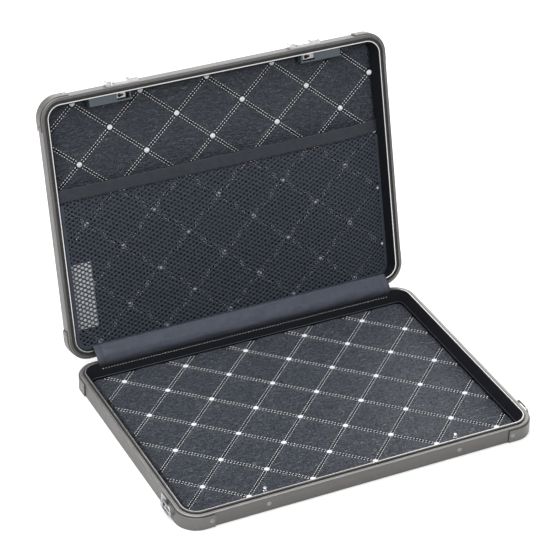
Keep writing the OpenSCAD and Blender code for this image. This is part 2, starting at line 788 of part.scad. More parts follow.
module hinge_pin() {
    color("gray") translate([-hinge_w/2, axis_y, axis_z]) rotate([0, 90, 0])
        cylinder(r = hinge_pin_r, h = hinge_w);
}

// Where a point at distance v from the back face and lid height h lies when open
function lid_point(v, h) =
    let (y = -knuckle_r - v, z = rim_gap/2 + h)
    [axis_y + y*cos(open_angle) + z*sin(open_angle), axis_z - y*sin(open_angle) + z*cos(open_angle)];

// A point of a Catmull-Rom curve through p
function through(p, k, t) =
    let (a = p[max(k - 1, 0)], b = p[k], c = p[k + 1], d = p[min(k + 2, len(p) - 1)])
    0.5*(2*b + (c - a)*t + (2*a - 5*b + 4*c - d)*t*t + (3*b - a - 3*c + d)*t*t*t);

// Cloth that bridges the rims inside the hinge, from the base lining to the lid lining
module hinge_cover() {
    off = hinge_cover_t/2 + 0.15;
    liner_top = base_h + rim_gap - soft_gap;
    path = [
        [half_d - tongue_out - liner_t - 2.3, liner_top - 3.2],
        [half_d - tongue_out - liner_t - 0.9, liner_top + off],
        [half_d - tongue_out - 0.2, base_h + tongue_h + off],
        [half_d - tongue_in + 0.6, base_h + tongue_h + off + 0.35],
        lid_point(-0.5, -off - 2.2),
        lid_point(lip_in - 1.5, -off - 0.3),
        lid_point(lip_end + 0.4, -off),
        lid_point(lip_end + 2.4, 0.2),
        lid_point(lip_end + 5.5, net_h - off)
    ];
    line = concat([for (k = [0:len(path) - 2], t = [0:0.25:0.99]) through(path, k, t)],
                  [path[len(path) - 1]]);
    n = len(line);
    normal = [for (k = [0:n - 1])
        let (g = line[min(k + 1, n - 1)] - line[max(k - 1, 0)]) [-g.y, g.x]/norm(g)];
    t = hinge_cover_t/2;
    color("darkslategray") translate([-half_w + hinge_cover_left, 0, 0]) rotate([90, 0, 90])
        linear_extrude(case_w - hinge_cover_left - hinge_cover_right)
            polygon(concat([for (k = [0:n - 1]) line[k] + normal[k]*t],
                           [for (k = [n - 1:-1:0]) line[k] - normal[k]*t]));
}

// ---- pocket in the lid ----

// The net: a flat sheet with rows of long six-sided gaps, staggered row by row
module pocket_net() {
    edge_in = lip_end + soft_gap/2 + liner_t + 0.2;
    w = case_w - 2*edge_in;
    l = band_v - edge_in - 0.1;
    hem = 4;
    px = (w - 2*hem)/(net_cols + 0.5);
    py = (l - 2*hem)/(net_rows + 1/3);
    hx = (px - net_thread)/2;
    hy = py*2/3 - net_thread/2;
    r = corner_r - edge_in;
    gap = [[0, hy], [hx, hy*0.42], [hx, -hy*0.42], [0, -hy], [-hx, -hy*0.42], [-hx, hy*0.42]];
    color("dimgray") place_lid() translate([0, half_d - edge_in - l, net_h])
        linear_extrude(net_t) difference() {
            union() {
                translate([-w/2, 0]) square([w, l - r]);
                translate([-w/2 + r, 0]) square([w - 2*r, l]);
                for (s = [-1, 1]) translate([s*(w/2 - r), l - r]) circle(r);
            }
            for (j = [0:net_rows - 1], i = [0:net_cols - 1])
                translate([-w/2 + hem + px*(i + 0.5 + (j%2)/2), hem + py*(j + 2/3)])
                    polygon(gap);
        }
}

// The elastic band that holds the net's mouth in
module pocket_band() {
    edge_in = lip_end + soft_gap/2 + liner_t + 0.2;
    color("black") place_lid()
        translate([-half_w + edge_in, half_d - band_v - band_w, net_h + net_t/2 - band_t/2])
            cube([case_w - 2*edge_in, band_w, band_t]);
}

// A blank card held between the net and the cushion
module pocket_label() {
    h = lid_floor - 0.05 - lid_pad_high - soft_gap - card_t;
    color("white") place_lid() translate([-half_w + card_side, half_d - card_back - card_l, h])
        cube([card_w, card_l, card_t]);
}

// ---- catches on the lid ----

// The middle of one catch on the lid's front face: +Y is inset, +Z is lid height
module at_catch(s) {
    translate([s*catch_x, -half_d, 0]) children();
}

catch_x0 = -catch_l/2;
thumb_mid = catch_x0 + thumb_l/2;
slit = catch_travel + slide_gap;
low_x0 = catch_x0 + thumb_l + slit;
hump_x0 = catch_l/2 - hump_l;
stem_h0 = bar_h0 + 0.2;
stem_h1 = bar_h1 - 0.2;

module catch_pin_holes() {
    for (x = pin_at) translate([x, 0, pin_h]) rotate([90, 0, 0])
        translate([0, 0, -wall - guide_t - 1])
            cylinder(r = catch_pin_r + pin_play, h = wall + guide_t + 1 + 2.2);
}

// Opening in the rail wall and catch plate for the thumb's stem to travel in
module stem_slot() {
    translate([thumb_mid - stem_w/2 - slide_gap, -catch_plate_t - 1, stem_h0 - slide_gap])
        cube([stem_w + catch_travel + 2*slide_gap, catch_plate_t + wall + 2,
              stem_h1 - stem_h0 + 2*slide_gap]);
}

// A hump's outline, rounded at both shoulders, standing out to one height
function hump(x0, x1, out, r) = concat([[x1, 0]], arc(x1 - r, -out + r, r, 0, -90, 6),
    arc(x0 + r, -out + r, r, 270, 180, 6), [[x0, 0]]);

module catch_housing(s) {
    x0 = catch_x0 - 0.9;
    mid = (catch_h0 + catch_h1)/2;
    span = catch_h1 - catch_h0;
    out = max(hump_out, low_out);
    color("gainsboro") place_lid() at_catch(s) difference() {
        union() {
            translate([x0, -catch_plate_t, catch_h0])
                cube([catch_l/2 + 0.2 - x0, catch_plate_t, span]);
            intersection() {
                translate([0, 0, catch_h0 + 0.2]) linear_extrude(span - 0.4) {
                    polygon(hump(low_x0, hump_x0 + 1, low_out, 0.8));
                    polygon(hump(hump_x0, catch_l/2, hump_out, 1.8));
                }
                translate([x0, 0, mid]) rotate([90, 0, 90]) linear_extrude(catch_l + 2)
                    rotate(90) mirror([0, 1]) polygon(hump(-span/2 + 0.2, span/2 - 0.2, out, 1.2));
            }
        }
        catch_pin_holes();
        stem_slot();
    }
}

module latch_housing_left() { catch_housing(-1); }
module latch_housing_right() { catch_housing(1); }

module catch_thumb(s) {
    h0 = catch_h0 + 0.4;
    h1 = catch_h1 - 0.4;
    r = 1.4;
    back = -catch_plate_t - slide_gap/2;
    color("gainsboro") place_lid() at_catch(s) {
        translate([0, back, h0]) linear_extrude(h1 - h0)
            polygon(hump(catch_x0, catch_x0 + thumb_l, thumb_out + back, r));
        translate([thumb_mid - stem_w/2, back - 0.5, stem_h0])
            cube([stem_w, bar_in - back + 0.5, stem_h1 - stem_h0]);
    }
}

module latch_thumb_left() { catch_thumb(-1); }
module latch_thumb_right() { catch_thumb(1); }

// The slide: a bar behind the rail, an arm over the rim and a plate with the keyhole
module catch_slide(s) {
    bar_x0 = s*catch_x + thumb_mid - stem_w/2;
    arm_x0 = s*arm_x - arm_w/2;
    arm_x1 = s*arm_x + arm_w/2;
    arm_h = lid_block + slide_gap + 0.1;
    plate_end = s*keeper_x - s*(key_hole_r + 1.2) - (s > 0 ? catch_travel : 0);
    plate_x0 = min(plate_end, arm_x0);
    plate_x1 = max(plate_end, arm_x1);
    plate_d = keeper_in + key_hole_r + 0.6 - arm_in;
    color("gainsboro") place_lid() translate([0, -half_d, 0]) difference() {
        union() {
            translate([bar_x0, bar_in, bar_h0]) cube([arm_x1 - bar_x0, bar_t, bar_h1 - bar_h0]);
            translate([arm_x0, bar_in, arm_h]) cube([arm_w, bar_t, bar_h1 - arm_h]);
            translate([arm_x0, bar_in, arm_h]) cube([arm_w, arm_in + 1 - bar_in, 1]);
            translate([arm_x0, arm_in, key_h]) cube([arm_w, 1, arm_h + 1 - key_h]);
            translate([plate_x0, arm_in, key_h]) cube([plate_x1 - plate_x0, plate_d, key_t]);
            translate([arm_x1 - 1.2, bar_in, arm_h])
                cube([1.2, 2*spring_r + 0.2, bar_h1 - arm_h]);
            translate([s*keeper_x - catch_travel, keeper_in, key_h - key_rim])
                cylinder(r = key_hole_r + key_land, h = key_rim + eps);
            translate([s*keeper_x, keeper_in, key_h - key_rim])
                cylinder(r = key_slot_r + key_land, h = key_rim + eps);
            translate([s*keeper_x - catch_travel, keeper_in - key_slot_r - key_land, key_h - key_rim])
                cube([catch_travel, 2*(key_slot_r + key_land), key_rim + eps]);
        }
        translate([s*keeper_x - catch_travel - key_hole_r - 1, 0, key_h - key_rim - 1])
            cube([2*(key_hole_r + 1) + catch_travel, arm_in, key_rim + 1]);
        translate([s*keeper_x - catch_travel, keeper_in, 0])
            cylinder(r = key_hole_r, h = key_h + key_t + 1);
        translate([s*keeper_x, keeper_in, 0]) cylinder(r = key_slot_r, h = key_h + key_t + 1);
        translate([s*keeper_x - catch_travel, keeper_in - key_slot_r, 0])
            cube([catch_travel, 2*key_slot_r, key_h + key_t + 1]);
    }
}

module latch_slide_left() { catch_slide(-1); }
module latch_slide_right() { catch_slide(1); }

// Plate inside the rail wall, with the ear that the return spring pushes against
module catch_guide(s) {
    ear_x = s*arm_x + arm_w/2 + spring_l;
    x0 = s*catch_x + low_x0 + 0.2;
    x1 = max(s*catch_x + pin_at[1] + 4, ear_x + 1.2);
    h0 = lid_block + 0.2;
    color("lightgray") place_lid() difference() {
        translate([0, -half_d + wall, h0]) {
            translate([x0, 0, 0]) cube([x1 - x0, guide_t, bar_h1 - h0]);
            translate([ear_x, 0, 0])
                cube([1.2, bar_in + 2*spring_r + 0.2 - wall, bar_h1 - h0]);
        }
        at_catch(s) catch_pin_holes();
    }
}

module latch_guide_left() { catch_guide(-1); }
module latch_guide_right() { catch_guide(1); }

// Pins through the housing, the rail wall and the guide, spread at their inner ends
module latch_pins() {
    grip = wall + guide_t;
    color("lightgray") place_lid() for (s = [-1, 1], x = pin_at)
        at_catch(s) translate([x, 0, pin_h]) rotate([-90, 0, 0]) rotate_extrude()
            polygon([[0, -2], [catch_pin_r, -2], [catch_pin_r, grip], [catch_pin_r + 0.5, grip],
                     [catch_pin_r + 0.5, grip + 0.5], [0, grip + 0.5]]);
}

// Ring of wire points round the centre line of the return spring at turn t
function coil_ring(t) =
    let (a = 360*t, r = spring_r - spring_wire_r, run = spring_l - 2*spring_wire_r - 0.2,
         x = spring_wire_r + 0.1 + run*t/spring_turns)
    [for (k = [0:5]) let (b = 60*k, q = r + spring_wire_r*cos(b))
        [x + spring_wire_r*sin(b), q*cos(a), q*sin(a)]];

// Least gap between neighbouring turns, measured between points of the wire
coil_pitch = norm(coil_ring(1)[0] - coil_ring(0)[0]);
coil_gap = coil_pitch - 2*spring_wire_r;
echo(coil_gap = coil_gap);

module coil() {
    rings = spring_turns*8;
    points = [for (k = [0:rings]) each coil_ring(k/8)];
    skin = [for (k = [0:rings - 1], i = [0:5])
        let (a = k*6 + i, b = k*6 + (i + 1)%6, c = b + 6, d = a + 6) each [[a, c, b], [a, d, c]]];
    first = [for (i = [1:4]) [0, i, i + 1]];
    last = [for (i = [1:4]) [rings*6, rings*6 + i + 1, rings*6 + i]];
    polyhedron(points, concat(skin, first, last));
}

module catch_spring(s) {
    color("silver") place_lid()
        translate([s*arm_x + arm_w/2, -half_d + spring_in, spring_h]) coil();
}

module latch_spring_left() { catch_spring(-1); }
module latch_spring_right() { catch_spring(1); }

// Folded cover over the catch's works, with a window for the keeper stud
module catch_cover(s) {
    l = cover_x1 - cover_x0;
    x0 = min(s*cover_x0, s*cover_x1);
    depth = lid_floor - 0.05 - cover_h;
    window_x0 = s*(keeper_x - 0.5) - window_l/2;
    color("slategray") place_lid() translate([x0, -half_d + cover_in, cover_h]) difference() {
        cube([l, cover_d, depth]);
        translate([cover_t, -1, cover_t]) cube([l - 2*cover_t, cover_d + 1 - cover_t, depth]);
        translate([window_x0 - x0, -1, -1]) cube([window_l, cover_d - cover_t - 0.9 + 1, cover_t + 2]);
    }
}

module latch_cover_left() { catch_cover(-1); }
module latch_cover_right() { catch_cover(1); }

// ---- carry rings ----

ring_rivet_in = bracket_l - knob_r - 0.5;

// The bracket's rivet on one side of the case, +Z outwards
module at_ring_rivet(s) {
    translate([s*half_w, -ring_y + ring_rivet_in, ring_z]) rotate([0, 90*s, 0]) children();
}

module ring_bracket(s) {
    h = ring_w - 2;
    color("lightgray") difference() {
        mirror([s < 0 ? 1 : 0, 0, 0]) translate([half_w, -ring_y, ring_z]) {
            translate([0, -barrel_r, -h/2]) cube([bracket_t, barrel_r + bracket_l, h]);
            translate([0, -1, -barrel_l/2]) cube([ring_out, 2, barrel_l]);
            translate([ring_out, 0, -barrel_l/2]) cylinder(r = barrel_r, h = barrel_l);
        }
        translate([s*(half_w + ring_out), -ring_y, 0])
            cylinder(r = ring_wire_r + pin_play, h = ring_z + barrel_l);
        at_ring_rivet(s) rivet_hole();
    }
}

module ring_bracket_left() { ring_bracket(-1); }
module ring_bracket_right() { ring_bracket(1); }

module ring_rivets() {
    color("gainsboro") for (s = [-1, 1]) at_ring_rivet(s)
        translate([0, 0, bracket_t]) rivet(bracket_t + wall, knob_r, rivet_head_h);
}

// A D of round wire in the YZ plane, with its straight side in the barrel
module d_ring(s) {
    r = ring_wire_r;
    top = ring_w/2 - r;
    run = ring_l - r - top;
    color("gainsboro") translate([s*(half_w + ring_out), -ring_y, ring_z]) rotate([0, -90, 0]) {
        translate([-(top - ring_bend), 0, 0]) rotate([0, 90, 0])
            cylinder(r = r, h = 2*(top - ring_bend));
        for (k = [0, 1]) mirror([k, 0, 0]) {
            translate([top - ring_bend, -ring_bend, 0]) rotate_extrude(angle = 90)
                translate([ring_bend, 0]) circle(r);
            translate([top, -ring_bend, 0]) rotate([90, 0, 0]) cylinder(r = r, h = run - ring_bend);
            translate([0, -run, 0]) rotate(-90) rotate_extrude(angle = 90)
                translate([top, 0]) circle(r);
        }
    }
}

module ring_left() { d_ring(-1); }
module ring_right() { d_ring(1); }

base_frame();
base_panel();
base_board();
base_liner();
base_pad();
base_tufts();
base_guard_front_left();
base_guard_front_right();
base_guard_rear_left();
base_guard_rear_right();
base_guard_rivets();
keeper_bracket_left();
keeper_bracket_right();
keeper_studs();
keeper_rivets();
base_hinge_leaf();
base_hinge_rivets();
hinge_pin();
hinge_cover();
ring_bracket_left();
ring_bracket_right();
ring_rivets();
ring_left();
ring_right();
lid_frame();
lid_gasket();
lid_panel();
lid_board();
lid_liner();
lid_pad();
lid_tufts();
lid_guard_front_left();
lid_guard_front_right();
lid_guard_rear_left();
lid_guard_rear_right();
lid_guard_rivets();
lid_hinge_leaf();
lid_hinge_rivets();
pocket_net();
pocket_band();
pocket_label();
latch_housing_left();
latch_housing_right();
latch_guide_left();
latch_guide_right();
latch_pins();
latch_cover_left();
latch_cover_right();
latch_spring_left();
latch_spring_right();
latch_thumb_left();
latch_thumb_right();
latch_slide_left();
latch_slide_right();
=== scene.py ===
"""A slim laptop case, open: grey aluminium rails, quilted leatherette cushions and a net pocket."""

import json
import math

import bpy
import numpy as np
from mathutils import Matrix, Vector, noise
from mathutils.bvhtree import BVHTree


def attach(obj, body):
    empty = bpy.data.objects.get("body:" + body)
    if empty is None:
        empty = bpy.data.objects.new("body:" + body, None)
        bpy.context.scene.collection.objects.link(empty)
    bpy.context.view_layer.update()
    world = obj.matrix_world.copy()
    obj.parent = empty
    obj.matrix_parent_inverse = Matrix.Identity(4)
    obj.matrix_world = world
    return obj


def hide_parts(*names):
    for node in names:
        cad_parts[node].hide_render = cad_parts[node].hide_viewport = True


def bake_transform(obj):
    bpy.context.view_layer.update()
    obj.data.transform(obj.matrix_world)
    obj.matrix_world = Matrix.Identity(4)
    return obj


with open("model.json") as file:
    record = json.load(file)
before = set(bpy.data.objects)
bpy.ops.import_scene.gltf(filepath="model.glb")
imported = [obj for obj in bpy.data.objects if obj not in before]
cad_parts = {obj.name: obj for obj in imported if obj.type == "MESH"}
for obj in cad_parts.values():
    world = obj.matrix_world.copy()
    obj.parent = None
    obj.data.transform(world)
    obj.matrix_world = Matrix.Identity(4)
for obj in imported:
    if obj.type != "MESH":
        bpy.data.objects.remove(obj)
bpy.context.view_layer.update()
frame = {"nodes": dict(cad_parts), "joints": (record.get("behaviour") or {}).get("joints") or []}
nodes = frame["nodes"]

# ---- Rails ----
# One aluminium extrusion is bent round each half, drawn to a fine lengthwise grain and anodised
# a warm gunmetal grey. Its polished cut edges and the base's ledge are lightened from a point's own
# place as painted highlights, and its grooves darkened as painted shade.

mm = 0.001
half_width, half_depth, rail_corner = 195 * mm, 140 * mm, 22 * mm
base_rim, lid_rim = 16.5 * mm, 16.8 * mm


def put(tree, kind, inputs=None, **settings):
    """Adds a node. A socket given as an input's value is linked to it."""
    node = tree.nodes.new(kind)
    for key, value in settings.items():
        setattr(node, key, value)
    for key, value in (inputs or {}).items():
        if isinstance(value, bpy.types.NodeSocket):
            tree.links.new(value, node.inputs[key])
        else:
            node.inputs[key].default_value = value
    return node


def reckon(tree, operation, a, b=0.0, c=0.0):
    """The result of one step of arithmetic."""
    return put(tree, "ShaderNodeMath", {0: a, 1: b, 2: c}, operation=operation).outputs[0]


def scaled(tree, vector, factor):
    """A vector or colour times a number."""
    return put(tree, "ShaderNodeVectorMath", {0: vector, "Scale": factor},
               operation="SCALE").outputs[0]


def remap(tree, value, before, after):
    """A value taken from one range to another."""
    limits = dict(zip(("From Min", "From Max", "To Min", "To Max"), before + after))
    return put(tree, "ShaderNodeMapRange", {"Value": value, **limits}).outputs[0]


def start_effect(name, **own):
    """A shared effect: its node group, and the sockets that lead into it."""
    group = bpy.data.node_groups.new(name, "ShaderNodeTree")
    common = {"Color": "Color", "Roughness": "Float"}
    for label, kind in {"Position": "Vector", **own, **common}.items():
        group.interface.new_socket(label, in_out="INPUT", socket_type="NodeSocket" + kind)
    for label, kind in {**common, "Height": "Float"}.items():
        group.interface.new_socket(label, in_out="OUTPUT", socket_type="NodeSocket" + kind)
    return group, put(group, "NodeGroupInput").outputs


def finish_effect(group, color, roughness, height):
    """Leads the effect's results out of its node group."""
    put(group, "NodeGroupOutput", {"Color": color, "Roughness": roughness, "Height": height})


def start_material(name, metallic=0.0, **sockets):
    """A material, its tree and shader, and the position on it in metres."""
    material = bpy.data.materials.new(name)
    material.use_nodes = True
    tree = material.node_tree
    shader = tree.nodes["Principled BSDF"]
    shader.inputs["Metallic"].default_value = metallic
    for key, value in sockets.items():
        shader.inputs[key.replace("_", " ")].default_value = value
    place = put(tree, "ShaderNodeTexCoord").outputs["Object"]
    return material, tree, shader, place


def use_effect(tree, shader, group, height, inputs):
    """Places a shared effect and wires its outputs to the shader; height scales its bump."""
    effect = put(tree, "ShaderNodeGroup", inputs, node_tree=group).outputs
    bump = put(tree, "ShaderNodeBump", {"Height": effect["Height"], "Distance": height})
    tree.links.new(effect["Color"], shader.inputs["Base Color"])
    tree.links.new(effect["Roughness"], shader.inputs["Roughness"])
    tree.links.new(bump.outputs[0], shader.inputs["Normal"])


def make_material(name, group, height, inputs, metallic=0.0, **sockets):
    """A material covered by one shared effect."""
    material, tree, shader, place = start_material(name, metallic, **sockets)
    use_effect(tree, shader, group, height, {"Position": place, **inputs})
    return material


def finish_nodes(material, names):
    """Gives CAD nodes their detailed material."""
    for name in names:
        for place in nodes[name].material_slots:
            place.material = material


metal_grain, into = start_effect("metal_grain", Stretch="Vector")
lines_at = put(metal_grain, "ShaderNodeVectorMath", {0: into["Position"], 1: into["Stretch"]},
               operation="MULTIPLY").outputs[0]
lines = put(metal_grain, "ShaderNodeTexNoise",
            {"Vector": lines_at, "Scale": 1.0, "Detail": 3.0, "Roughness": 0.6}).outputs[0]
smudges = put(metal_grain, "ShaderNodeTexNoise",
              {"Vector": into["Position"], "Scale": 45.0, "Detail": 4.0,
               "Roughness": 0.55}).outputs[0]
line_shade = remap(metal_grain, lines, (0.3, 0.7), (0.88, 1.1))
smudge_shade = remap(metal_grain, smudges, (0.3, 0.7), (0.93, 1.05))
shade = reckon(metal_grain, "MULTIPLY", line_shade, smudge_shade)
gloss = remap(metal_grain, smudges, (0.25, 0.75), (-0.06, 0.08))
gloss = reckon(metal_grain, "ADD", gloss, into["Roughness"])
finish_effect(metal_grain, scaled(metal_grain, into["Color"], shade), gloss, lines)

hinge = next(joint for joint in frame["joints"] if joint["name"] == "lid_hinge")
pivot = Vector(hinge["pos_m"])
open_angle = math.radians(hinge["range_deg"][1])
shut_to_open = (
    Matrix.Translation(pivot) @ Matrix.Rotation(-open_angle, 4, "X") @ Matrix.Translation(-pivot)
)

rail_lines, into = start_effect("rail_lines", Grain="Float", Ledge="Float", Edge_Inset="Float",
                                Edge_Height="Float", Ribs="Float")


def trace(operation, *terms):
    """One step of the sums that find the rails' edges and grooves."""
    return reckon(rail_lines, operation, *terms)


folded = put(rail_lines, "ShaderNodeVectorMath", {0: into["Position"]}, operation="ABSOLUTE")
folded = put(rail_lines, "ShaderNodeVectorMath",
             {0: folded.outputs[0], 1: (half_width - rail_corner, half_depth - rail_corner, 0)},
             operation="SUBTRACT")
part = put(rail_lines, "ShaderNodeSeparateXYZ", {0: folded.outputs[0]}).outputs
beyond = [trace("POWER", trace("MAXIMUM", part[axis]), 2) for axis in "XY"]
reach = trace("SQRT", trace("ADD", *beyond))
within = trace("MINIMUM", trace("MAXIMUM", part["X"], part["Y"]))
inset = trace("SUBTRACT", trace("SUBTRACT", rail_corner, reach), within)
# A thin line along the polished cut edge near the rim is mixed toward a near-white grey: painted
# highlight.
near_top = trace("COMPARE", part["Z"], into["Edge_Height"], 0.9 * mm)
polished_edge_highlight = trace("COMPARE", inset, into["Edge_Inset"], 0.45 * mm)
polished_edge_highlight = trace("MULTIPLY", polished_edge_highlight, near_top)
# The base's upward-facing ledge is lightened a quarter of the way to that grey: painted highlight.
ledge_highlight = trace("COMPARE", inset, 1.9 * mm, 1.6 * mm)
ledge_highlight = trace("MULTIPLY", ledge_highlight, into["Ledge"])
ledge_highlight = trace("MULTIPLY", ledge_highlight, trace("COMPARE", part["Z"], base_rim, 0.4 * mm))
painted_highlight = trace("MULTIPLY_ADD", ledge_highlight, 0.25, polished_edge_highlight)
# Rib grooves on the lid's outer wall and two fine lines on the rim are sunk in the bump and darkened in
# colour: painted shade.
outer_wall = trace("LESS_THAN", inset, 0.6 * mm)
rib_pitch = 2.6 * mm
wave = trace("SINE", trace("MULTIPLY", part["Z"], 2 * math.pi / rib_pitch))
shaded_groove = trace("GREATER_THAN", wave, 0.55)
shaded_groove = trace("MULTIPLY", shaded_groove, outer_wall)
shaded_groove = trace("MULTIPLY", shaded_groove, into["Ribs"])
drawn = trace("MAXIMUM", *[trace("COMPARE", inset, line * mm, 0.22 * mm) for line in (1.1, 2.5)])
drawn = trace("MULTIPLY", drawn,
              trace("COMPARE", part["Z"], (base_rim + lid_rim) / 2, 0.5 * mm))
shaded_groove = trace("MAXIMUM", shaded_groove, drawn)
# Painted shade: the grooves' colour is darkened by up to 0.6.
shade = trace("MULTIPLY_ADD", shaded_groove, -0.6, 1.0)
# The painted highlights are mixed in toward this near-white grey.
mixed = put(rail_lines, "ShaderNodeMix",
            {"Factor": painted_highlight, "A": scaled(rail_lines, into["Color"], shade),
             "B": (0.78, 0.77, 0.76)}, data_type="VECTOR")
finish_effect(rail_lines, mixed.outputs["Result"],
              trace("MULTIPLY_ADD", polished_edge_highlight, -0.15, into["Roughness"]),
              trace("MULTIPLY_ADD", shaded_groove, -1.6, into["Grain"]))

# The lid's rails get a lighter grey than the base's, though both are one anodised metal: lit and shaded
# copies of one grey, painted light and painted shade.
for half, turn, ledge, edge_inset, edge_height, ribs, rail_grey in (
        ("base", 0.0, 1.0, 6.0 * mm, 18.1 * mm, 0.0, (0.122, 0.118, 0.114, 1)),
        ("lid", open_angle, 0.0, 7.1 * mm, 17.2 * mm, 1.0, (0.185, 0.18, 0.176, 1))):
    rail_metal, tree, shader, place = start_material("rail_metal_" + half, 0.85)
    if turn:
        back = pivot - Matrix.Rotation(turn, 3, "X") @ pivot
        place = put(tree, "ShaderNodeMapping",
                    {"Vector": place, "Rotation": (turn, 0, 0), "Location": back}).outputs[0]
    grain = put(tree, "ShaderNodeGroup", {"Position": place, "Stretch": (12, 12, 2200),
                                          "Color": rail_grey, "Roughness": 0.4},
                node_tree=metal_grain).outputs
    use_effect(tree, shader, rail_lines, 0.08 * mm,
               {"Position": place, "Color": grain["Color"], "Roughness": grain["Roughness"],
                "Grain": grain["Height"], "Ledge": ledge, "Edge_Inset": edge_inset,
                "Edge_Height": edge_height, "Ribs": ribs})
    finish_nodes(rail_metal, [half + "_frame"])

# ---- Corner guards ----
# Eight pressed steel caps, one over each corner of each half, satin plated and riveted on.
# They are a shade lighter than the rails, with a rounder, blasted grain.

guard_metal = make_material(
    "guard_metal", metal_grain, 0.04 * mm,
    {"Stretch": (900, 900, 900), "Color": (0.145, 0.142, 0.138, 1), "Roughness": 0.4}, 0.85)
finish_nodes(guard_metal, [name for name in nodes if "_guard_" in name and "rivets" not in name])

# ---- Rail rivets ----
# Domed steel rivets through the guards and keepers, plated like the guards but a lighter grey.

rivet_metal = make_material(
    "rivet_metal", metal_grain, 0.03 * mm,
    {"Stretch": (900, 900, 900), "Color": (0.24, 0.235, 0.23, 1), "Roughness": 0.28}, 0.9)
finish_nodes(rivet_metal, ["base_guard_rivets", "lid_guard_rivets", "keeper_rivets"])

# ---- Bright parts ----
# Hinge rivets, keeper studs and the catches' housings and thumbs are turned or pressed steel,
# polished and nickel-plated, with faint smears. The carry rings are a darker, glossier chrome.

bright_metal = make_material(
    "bright_metal", metal_grain, 0.01 * mm,
    {"Stretch": (260, 260, 260), "Color": (0.66, 0.66, 0.67, 1), "Roughness": 0.2}, 1.0)
finish_nodes(bright_metal, [
    "keeper_studs", "base_hinge_rivets", "lid_hinge_rivets", "latch_housing_left",
    "latch_housing_right", "latch_thumb_left", "latch_thumb_right"])
ring_chrome = make_material(
    "ring_chrome", metal_grain, 0.01 * mm,
    {"Stretch": (260, 260, 260), "Color": (0.36, 0.36, 0.365, 1), "Roughness": 0.14}, 1.0)
finish_nodes(ring_chrome, ["ring_rivets", "ring_left", "ring_right"])

# ---- Plain steel parts ----
# Brackets, hinge leaves, pins, guides, slides and springs: cold-rolled steel with a zinc
# finish, seen mostly from behind. Its grain runs along the case.

plain_steel = make_material(
    "plain_steel", metal_grain, 0.02 * mm,
    {"Stretch": (40, 900, 900), "Color": (0.42, 0.42, 0.43, 1), "Roughness": 0.34}, 1.0)
finish_nodes(plain_steel, [
    "keeper_bracket_left", "keeper_bracket_right", "base_hinge_leaf", "lid_hinge_leaf",
    "hinge_pin", "ring_bracket_left", "ring_bracket_right", "latch_guide_left",
    "latch_guide_right", "latch_pins", "latch_spring_left", "latch_spring_right",
    "latch_slide_left", "latch_slide_right"])

# ---- Catch covers ----
# Folded steel boxes over the catches' works, sprayed slate blue with a slight orange peel.

cover_paint = make_material(
    "cover_paint", metal_grain, 0.08 * mm,
    {"Stretch": (700, 700, 700), "Color": (0.052, 0.071, 0.085, 1), "Roughness": 0.42},
    Coat_Weight=0.15)
finish_nodes(cover_paint, ["latch_cover_left", "latch_cover_right"])

# ---- Skins and boards ----
# The outer panels are hardboard under a fine-grained black leatherette, and the inner boards
# behind the cushions are plain black fibreboard.

pebbled, into = start_effect("pebbled_leatherette", Cells="Float", Creases="Float")
warp = put(pebbled, "ShaderNodeTexNoise",
           {"Vector": into["Position"], "Scale": 260.0, "Detail": 2.0}).outputs["Color"]
at = put(pebbled, "ShaderNodeVectorMath",
         {0: into["Position"], 1: scaled(pebbled, warp, 3.5 * mm)}, operation="ADD").outputs[0]
cells = put(pebbled, "ShaderNodeTexVoronoi",
            {"Vector": at, "Scale": into["Cells"], "Randomness": 1.0}, feature="SMOOTH_F1")
drawn = put(pebbled, "ShaderNodeVectorMath", {0: at, 1: (0.22, 1.0, 1.0)},
            operation="MULTIPLY").outputs[0]
creases = put(pebbled, "ShaderNodeTexNoise",
              {"Vector": drawn, "Scale": 640.0, "Detail": 4.0, "Roughness": 0.62}).outputs[0]
pebble = remap(pebbled, cells.outputs["Distance"], (0.12, 0.7), (1.0, 0.0))
crease = remap(pebbled, creases, (0.36, 0.64), (0.0, 1.0))
crease = reckon(pebbled, "MULTIPLY", crease, into["Creases"])
relief = reckon(pebbled, "MULTIPLY_ADD", pebble, 0.7, crease)
# Colour is lightened on pebble tops and crease crests and darkened in the hollows between them: painted
# highlight and painted shade.
tone = remap(pebbled, relief, (0.1, 1.3), (0.2, 2.2))
rough = remap(pebbled, relief, (0.1, 1.3), (0.1, -0.16))
finish_effect(pebbled, scaled(pebbled, into["Color"], tone),
              reckon(pebbled, "ADD", rough, into["Roughness"]), relief)

outer_skin = make_material(
    "outer_skin", pebbled, 0.3 * mm,
    {"Cells": 900.0, "Creases": 0.25, "Color": (0.016, 0.017, 0.02, 1), "Roughness": 0.5},
    Specular_IOR_Level=0.3)
finish_nodes(outer_skin, ["base_panel", "lid_panel"])
fibreboard = make_material(
    "fibreboard", pebbled, 0.05 * mm,
    {"Cells": 2400.0, "Creases": 1.0, "Color": (0.02, 0.02, 0.022, 1), "Roughness": 0.8})
finish_nodes(fibreboard, ["base_board", "lid_board"])

# ---- Lid seal ----
# A soft black rubber strip pressed into the groove of the lid's rails.

seal_rubber = make_material(
    "seal_rubber", pebbled, 0.02 * mm,
    {"Cells": 3000.0, "Creases": 0.3, "Color": (0.03, 0.03, 0.032, 1), "Roughness": 0.62})
finish_nodes(seal_rubber, ["lid_gasket"])

# ---- Base cushion ----
# Foam under pebbled black leatherette, quilted in diamonds by crossing seams. A cloth blown up
# from below gives the cover its swell; it is held along the seams, which are pressed in after.


def seam_phase(quilt, x, y):
    """How far a point lies from the two families of seams, in units of half their spacing."""
    u = (x - quilt["first"][0]) / quilt["pitch"][0]
    v = (quilt["first"][1] - y) / quilt["pitch"][1]
    return [((s + 1) % 2) - 1 for s in (u + v, u - v)]


